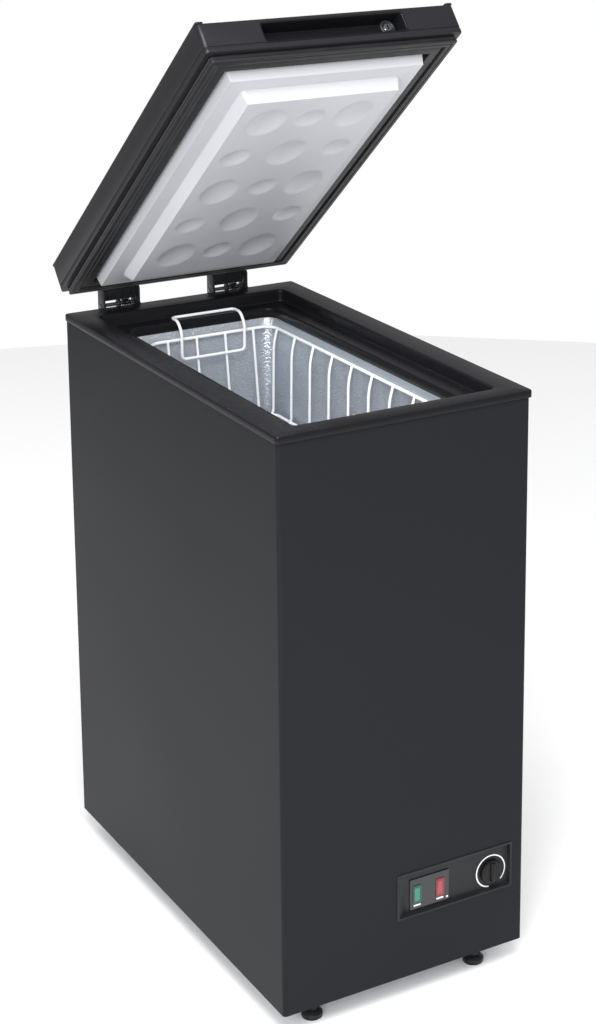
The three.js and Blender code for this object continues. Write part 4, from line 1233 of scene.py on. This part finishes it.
# ---- lid -----------------------------------------------------------------------------------------------
@dataclass
class Lid:
    """The insulated lid, drawn shut: shell, rails, skin, seal, inner panel, hand grip and lock."""

    shop: Shop
    shell: Station = (184.4, 3.5, 640.5, 6.0)
    base: float = 788.0
    skin_top: float = 830.3
    rail_top: float = 832.8
    rail_width: float = 11.0
    grip: Station = (-98.0, 104.0, 797.5, 823.5)
    grip_depth: float = 24.0
    lock: tuple[float, float] = (82.0, 808.0)
    lock_radius: float = 11.0
    level_one: float = 771.0
    level_two: float = 754.0
    dimple_rows: tuple[float, ...] = (131.8, 222.5, 313.5, 406.5, 494.0)

    def casing(self) -> None:
        """The moulded frame: an inward flange below, a groove near its foot and a flat edge on top."""
        base, top = self.base, self.skin_top
        x0, x1, z0, z1 = self.grip
        rows = inset(
            self.shell,
            [(37.5, base + 2.4), (37.5, base + 0.4), (37.0, base), (1.8, base), (0.6, base + 0.4)]
            + [(0, base + 1.6), (0, base + 6.6), (0.25, base + 7.0), (0.9, base + 7.2), (0.9, base + 8.4)]
            + [(0.25, base + 8.6), (0, base + 9.0), (0, top - 2.4), (0.3, top - 1.1), (1.0, top - 0.3)]
            + [(2.2, top), (10.4, top), (10.9, top - 0.4), (11.0, top - 1.0), (11.0, top - 3.0)]
            + [(3.0, top - 3.0), (3.0, base + 2.4)],
        )
        hole = prism((x0 - 2, x1 + 2, z0 - 2, z1 + 2), 4.5, 40.0, 0.0)
        body = loft(rows, ring=True, arc=10)
        # The casing and its rails take the lid's black ABS, whose paler colour is painted light.
        self.shop.make("lid_casing", body, LIT_SATIN_ABS, "lid", "gloss_black", ["lid_frame"], [hole])
        width = self.rail_width / 2
        base = (width, self.shell[1], self.shell[2], 2.4)
        for side, name in ((-1, "left"), (1, "right")):
            rail = slab(base, top - 0.6, self.rail_top, 1.1, middle=side * (self.shell[0] - width))
            self.shop.make("lid_rail_" + name, rail, LIT_SATIN_ABS, "lid", "gloss_black")

    def skin(self) -> None:
        """The painted top sheet, set between the rails with its edges turned down."""
        half, front, back, radius = self.shell
        d = self.rail_width + 0.3
        plate = slab((half - d, front + d, back - d, 3.0), self.skin_top - 3.4, self.skin_top, 0.5)
        self.shop.make("lid_top_sheet", plate, POWDER_COAT, "lid", "black_paint", ["lid_skin"])

    def seal(self) -> None:
        """The magnetic seal: a hollow-looking bead with fins outside and a flat flange inside.

        One closed profile of insets and heights is carried round the shell's outline.
        """
        low, high = self.base - 9.4, self.base - 0.3
        outline = (self.shell[0], self.shell[1], self.shell[2], 12.0)
        rows = [
            (36.8, high), (36.8, high - 6.6), (36.0, high - 7.3), (30.0, high - 7.4), (24.4, high - 7.4),
            (23.2, high - 6.6), (22.2, high - 5.4), (21.2, high - 6.2), (21.0, low + 1.4), (20.2, low + 0.3),
            (19.0, low), (15.2, low + 0.05), (14.5, low + 0.7), (13.5, low + 0.7), (12.8, low + 0.05),
            (8.8, low + 0.15), (7.6, low + 0.9), (7.2, low + 2.2), (8.4, low + 4.4), (8.2, low + 5.2),
            (7.2, low + 6.2), (7.6, high - 1.2), (8.4, high),
        ]
        body = loft(inset(outline, rows), ring=True, arc=10)
        self.shop.make("lid_seal", body, SEAL_PVC, "lid", "rubber", ["lid_gasket"])

    def panel_depth(self, x: np.ndarray, y: np.ndarray) -> np.ndarray:
        """How far the inner panel stands down from the lid's underside.

        Each step is its drop times the fraction climbed up its sloping sides. With p and q the fractions
        still to climb from the nearest side and the nearest end, that fraction is 1 - sqrt(p^2 + q^2),
        which rounds the corners. Each dimple then takes back a shallow bowl.

        Args:
            x: shop x of the points.
            y: shop y of the points.

        Returns:
            The depth in millimetres.
        """

        def climbed(
            half: float, front: float, back: float, side: float, near: float, far: float
        ) -> np.ndarray:
            """The fraction climbed up a step whose slopes are so wide at the sides, front and back."""
            p = np.clip(1 - (half - np.abs(x)) / side, 0, 1)
            q = np.clip(np.maximum(1 - (y - front) / near, 1 - (back - y) / far), 0, 1)
            return np.clip(1 - np.hypot(p, q), 0, 1)

        first = self.base - self.level_one
        second = self.level_one - self.level_two
        depth = first * climbed(142.5, 44.0, 603.0, 3.4, 6.0, 3.4)
        return depth + second * climbed(115.4, 73.6, 577.0, 6.4, 6.4, 18.0) - self.dimples(x, y)

    def dimples(self, x: np.ndarray, y: np.ndarray) -> np.ndarray:
        """The depth of the oval dimples: d * (1 - u^2 - v^2), with u and v counted in half widths.

        The rows change between large ones at the sides with a small one between, and the other way.

        Args:
            x: shop x of the points.
            y: shop y of the points.

        Returns:
            The depth in millimetres.
        """
        total = np.zeros_like(x)
        for row, back_off in enumerate(self.dimple_rows):
            outer_large = row % 2 == 0
            for column, cx in enumerate((-64.0, 0.0, 64.0)):
                large = (column != 1) == outer_large
                cx = cx if large or column == 1 else math.copysign(75.0, cx)
                half_x, half_y = (27.0, 32.0) if large else (20.5, 20.0)
                q = ((x - cx) / half_x) ** 2 + ((y - (self.shell[2] - back_off - 15.0)) / half_y) ** 2
                total = total + (6.4 if large else 5.0) * np.clip(1 - q, 0, 1)
        return total

    def inner_panel(self) -> None:
        """The white vacuum-formed panel: a height field with its lines crowded where it steps down."""
        x = np.concatenate([
            np.linspace(-142.5, -138.5, 9), np.linspace(-136.0, -118.0, 8), np.linspace(-116.0, -108.0, 17),
            np.linspace(-105.5, 105.5, 96), np.linspace(108.0, 116.0, 17), np.linspace(118.0, 136.0, 8),
            np.linspace(138.5, 142.5, 9),
        ])
        y = np.concatenate([
            np.linspace(44.0, 50.5, 14), np.linspace(52.0, 71.5, 8), np.linspace(73.0, 81.0, 17),
            np.linspace(83.0, 577.0, 230), np.linspace(579.0, 597.0, 8), np.linspace(599.0, 603.0, 9),
        ])
        gx, gy = np.meshgrid(x, y, indexing="xy")
        z = self.base - self.panel_depth(gx, gy)
        rows, columns = gx.shape
        front = np.column_stack([gx.ravel(), gy.ravel(), z.ravel()])
        faces = [tuple(reversed(face)) for face in grid_faces(rows, columns, False)]
        number = np.arange(rows * columns).reshape(rows, columns)
        border = np.concatenate([number[0, :-1], number[:-1, -1], number[-1, :0:-1], number[:0:-1, 0]])
        rim = front[border].copy()
        rim[:, 2] = self.base + 2.0
        count, first = len(border), len(front)
        around = [
            (int(border[i]), int(border[(i + 1) % count]), first + (i + 1) % count, first + i)
            for i in range(count)
        ]
        cap = tuple(range(first, first + count))
        body = Surface(np.vstack([front, rim]), faces + around + [cap])
        self.shop.make("lid_inner_panel", body, FORMED_HIPS, "lid", "white_abs", ["lid_panel"], smooth=50.0)

    def insulation(self) -> None:
        """The block of foam in the shell, with rooms for the hand grip and for the lock."""
        half, front, back, _ = self.shell
        d = self.rail_width / 2 - 2.2
        core = slab((half - d, front + d, back - d, 3.0), self.base + 2.8, self.skin_top - 2.8, 1.0)
        x0, x1, z0, z1 = self.grip
        reach = front + self.grip_depth
        room = slab(
            ((x1 - x0) / 2 + 2.6, 0.0, reach + 2.6, 1.0), z0 - 2.6, z1 + 2.6, 0.5, middle=(x0 + x1) / 2
        )
        low, high = self.base + 2.0, self.skin_top - 4.4
        lock_room = slab((18.4, reach, reach + 20.4, 1.0), low, high, 0.5, middle=self.lock[0])
        self.shop.make("lid_insulation", core, FOAM, "lid", "foam", ["lid_foam"], [room, lock_room])

    def hand_grip(self) -> None:
        """The recessed grip: a fine lip, deep sides and a lower face that climbs in three shallow steps."""
        y = self.shell[1]
        bottom = y + self.grip_depth
        rows = [
            (-1.9, -1.9, -1.9, -1.9, 4.4, bottom + 2.0),
            (-1.9, -1.9, -1.9, -1.9, 4.4, y + 0.4),
            (-1.6, -1.6, -1.6, -1.6, 4.2, y + 0.1),
            (-0.6, -0.6, -0.6, -0.6, 3.6, y + 0.1),
            (0, 0, 0, 0, 3.2, y + 0.5),
            (1.0, 0.6, 0.5, 0.2, 3.2, y + 2.0),
            (1.6, 0.7, 0.8, 0.3, 3.2, y + 6.0),
            (2.2, 0.8, 2.6, 0.4, 3.2, y + 6.6),
            (2.8, 0.9, 3.0, 0.5, 3.2, y + 12.0),
            (3.2, 1.0, 4.8, 0.6, 3.2, y + 12.6),
            (3.6, 1.1, 5.2, 0.7, 3.2, y + 18.0),
            (3.9, 1.2, 6.8, 0.8, 3.2, y + 18.6),
            (4.4, 1.6, 7.4, 1.2, 3.2, bottom - 0.4),
            (5.6, 2.6, 8.4, 2.2, 3.0, bottom),
        ]
        hole = facing(turned([(0, -60.0), (11.2, -60.0), (11.2, -9.0), (0, -9.0)], 40))
        self.shop.make(
            "hand_grip", pane(self.grip, rows), GLOSS_ABS, "lid", "gloss_black", ["handle_cup"],
            [hole.shifted(self.lock[0], 0, self.lock[1])],
        )

    def lock_set(self) -> None:
        """The lock: a rounded black housing, a nickel-plated cylinder with its keyway, and the cam behind."""
        lx, lz = self.lock
        face = self.shell[1] + 7.0
        back = self.shell[1] + self.grip_depth + 12.0
        r = self.lock_radius
        housing = [(6.4, -back), (r, -back), (r, -face - 2.2), (r - 0.5, -face - 0.9), (r - 1.8, -face - 0.1)]
        housing += [(8.0, -face), (7.2, -face - 0.3), (6.4, -face - 1.0), (6.4, -back)]
        barrel = facing(turned(housing)).shifted(lx, 0, lz)
        self.shop.make("lock_housing", barrel, MATT_ABS, "lid", "matt_black", ["lock_barrel"])
        core = [(0, -back - 4.8), (6.0, -back - 4.8), (6.0, -face - 0.9), (5.5, -face - 0.35)]
        core += [(4.6, -face - 0.1), (0, -face - 0.1)]
        keyway = prism((lx - 0.9, lx + 0.9, lz - 3.6, lz + 3.6), 0.3, face + 9.0, face - 2.0)
        plug = facing(turned(core)).shifted(lx, 0, lz)
        self.shop.make("lock_core", plug, NICKEL, "lock", "zinc", ["lock_cylinder"], [keyway])
        self.shop.repaint(ZINC, "lock_cam")

    def build(self) -> None:
        """Builds and dresses the whole lid."""
        self.casing()
        self.skin()
        self.seal()
        self.inner_panel()
        self.insulation()
        self.hand_grip()
        self.lock_set()


# ---- hinges --------------------------------------------------------------------------------------------
@dataclass
class Hinges:
    """Two hinges, each with a bracket, a leaf, a pin and a torsion spring."""

    shop: Shop
    pin_radius: float = 3.0
    half: float = 29.0
    spring_side: float = 12.2
    spring_wire: float = 0.9

    def one(self, side: str) -> None:
        """Builds one hinge.

        Args:
            side: left or right.
        """
        for part, body in (("hinge_bracket_", "cabinet"), ("hinge_leaf_", "lid")):
            plate = softened(part + side, self.shop.frame, 0.6)
            self.shop.dress(plate, BLACK_ENAMEL, body, "black_steel")
        datum = self.shop.datum
        left, right, *_ = datum.box("hinge_leaf_" + side)
        x = (left + right) / 2
        y, z = (datum.pin[1] - datum.front) / MM, (datum.pin[2] - datum.base) / MM
        r, h = self.pin_radius, self.half
        profile = [(0, -h - 1), (r - 0.5, -h - 1), (r, -h - 0.5), (r, h + 0.6), (r + 1.4, h + 0.6)]
        profile += [(r + 2, h + 1.1), (r + 1.7, h + 2.1), (r + 0.6, h + 2.6), (0, h + 2.6)]
        body = turned(profile, 28)
        u, v, w = body.points.T
        along = Surface(np.column_stack([w + x, u + y, v + z]), body.faces)
        self.shop.make("hinge_rivet_" + side, along, ZINC, "cabinet", "zinc", ["hinge_pin_" + side])
        turns, pitch, coil_radius = 5, 2.5, 5.2
        t = np.linspace(0.0, 2 * math.pi * turns, 180)
        run = x + self.spring_side + (t / (2 * math.pi) - turns / 2) * pitch
        helix = np.column_stack([run, y + coil_radius * np.cos(t), z + coil_radius * np.sin(t)])
        coil = wire(helix, self.spring_wire, 10)
        self.shop.make("hinge_coil_" + side, coil, SPRING_STEEL, "cabinet", "zinc", ["hinge_spring_" + side])

    def build(self) -> None:
        """Builds and dresses both hinges."""
        self.one("left")
        self.one("right")


# ---- studio --------------------------------------------------------------------------------------------
@dataclass
class Studio:
    """The pale floor, the soft lights and the camera."""

    shop: Shop
    eye: tuple[float, float, float] = (-1326.6, -2169.8, 1604.2)
    yaw: float = 0.54499
    pitch: float = 0.24072
    roll: float = 0.00192
    lens: float = 76.28
    shift: tuple[float, float] = (-0.1012, -0.2526)
    floor_radius: float = 2900.0
    sky: float = 0.84
    sky_mirrored: float = 0.35

    def camera(self) -> None:
        """A camera that looks along (sin yaw cos pitch, cos yaw cos pitch, -sin pitch)."""
        made = bpy.data.cameras.new("camera")
        made.lens = self.lens
        made.shift_x, made.shift_y = self.shift
        made.clip_end = 50.0
        obj = bpy.data.objects.new("camera", made)
        level = math.cos(self.pitch)
        ahead = np.array([math.sin(self.yaw) * level, math.cos(self.yaw) * level, -math.sin(self.pitch)])
        right = np.array([math.cos(self.yaw), -math.sin(self.yaw), 0.0])
        up = np.cross(right, ahead)
        c, s = math.cos(self.roll), math.sin(self.roll)
        axes = np.column_stack([c * right + s * up, c * up - s * right, -ahead])
        eye = self.shop.datum.cabinet(np.array([self.eye]))[0]
        pose = np.eye(4)
        pose[:3, :3], pose[:3, 3] = axes, eye
        obj.matrix_world = Matrix(pose.tolist())
        bpy.context.scene.collection.objects.link(obj)
        bpy.context.scene.camera = obj

    def light(self, name: str, at: Station, size: float, power: float) -> None:
        """One square soft box that looks at the middle of the object.

        Args:
            name: the light's name.
            at: its place in metres.
            size: its side in metres.
            power: its power in watts.
        """
        made = bpy.data.lights.new(name, "AREA")
        made.shape = "SQUARE"
        made.size, made.energy = size, power
        obj = bpy.data.objects.new(name, made)
        obj.location = at
        away = Matrix.Translation(at).to_translation() - Matrix.Translation((0, 0, 0.6)).to_translation()
        obj.rotation_euler = away.to_track_quat("Z", "Y").to_euler()
        bpy.context.scene.collection.objects.link(obj)

    def build(self) -> None:
        """Builds the floor, the lights, the sky and the camera."""
        self.camera()
        r = self.floor_radius
        floor = shape("floor", slab((r, -r, r, r - 10.0), -2.0, 0.0, 0.5), lambda p: p * MM)
        floor.data.materials.append(FLOOR_PAINT.material())
        world = bpy.data.worlds.new("studio")
        world.use_nodes = True
        sky = world.node_tree.nodes["Background"]
        sky.inputs["Color"].default_value = (1.0, 1.0, 1.0, 1.0)
        path = add_node(world.node_tree, "LightPath", {}, {})
        mirrored, seen = path.outputs["Is Glossy Ray"], path.outputs["Is Camera Ray"]
        lit = add_node(world.node_tree, "MapRange", {}, {0: mirrored, 3: self.sky, 4: self.sky_mirrored})
        power = add_node(world.node_tree, "MapRange", {}, {0: seen, 3: lit.outputs[0], 4: 1.0})
        world.node_tree.links.new(power.outputs[0], sky.inputs["Strength"])
        bpy.context.scene.world = world
        self.light("top", (-0.8, -1.6, 3.0), 1.6, 95.0)
        self.light("key", (-2.6, -2.8, 1.9), 1.4, 70.0)
        bpy.context.scene.view_settings.view_transform = "Standard"


def main() -> None:
    """Loads the frame and builds every sub-assembly round it."""
    logging.basicConfig(level=logging.INFO, format="%(name)s: %(message)s")
    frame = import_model()
    shop = Shop(frame, Datum.of(frame))
    for maker in (Studio, Cabinet, ControlPanel, Basket, Lid, Hinges):
        log.info("building the %s", maker.__name__)
        maker(shop).build()
    bpy.context.view_layer.update()


if __name__ == "__main__":
    main()
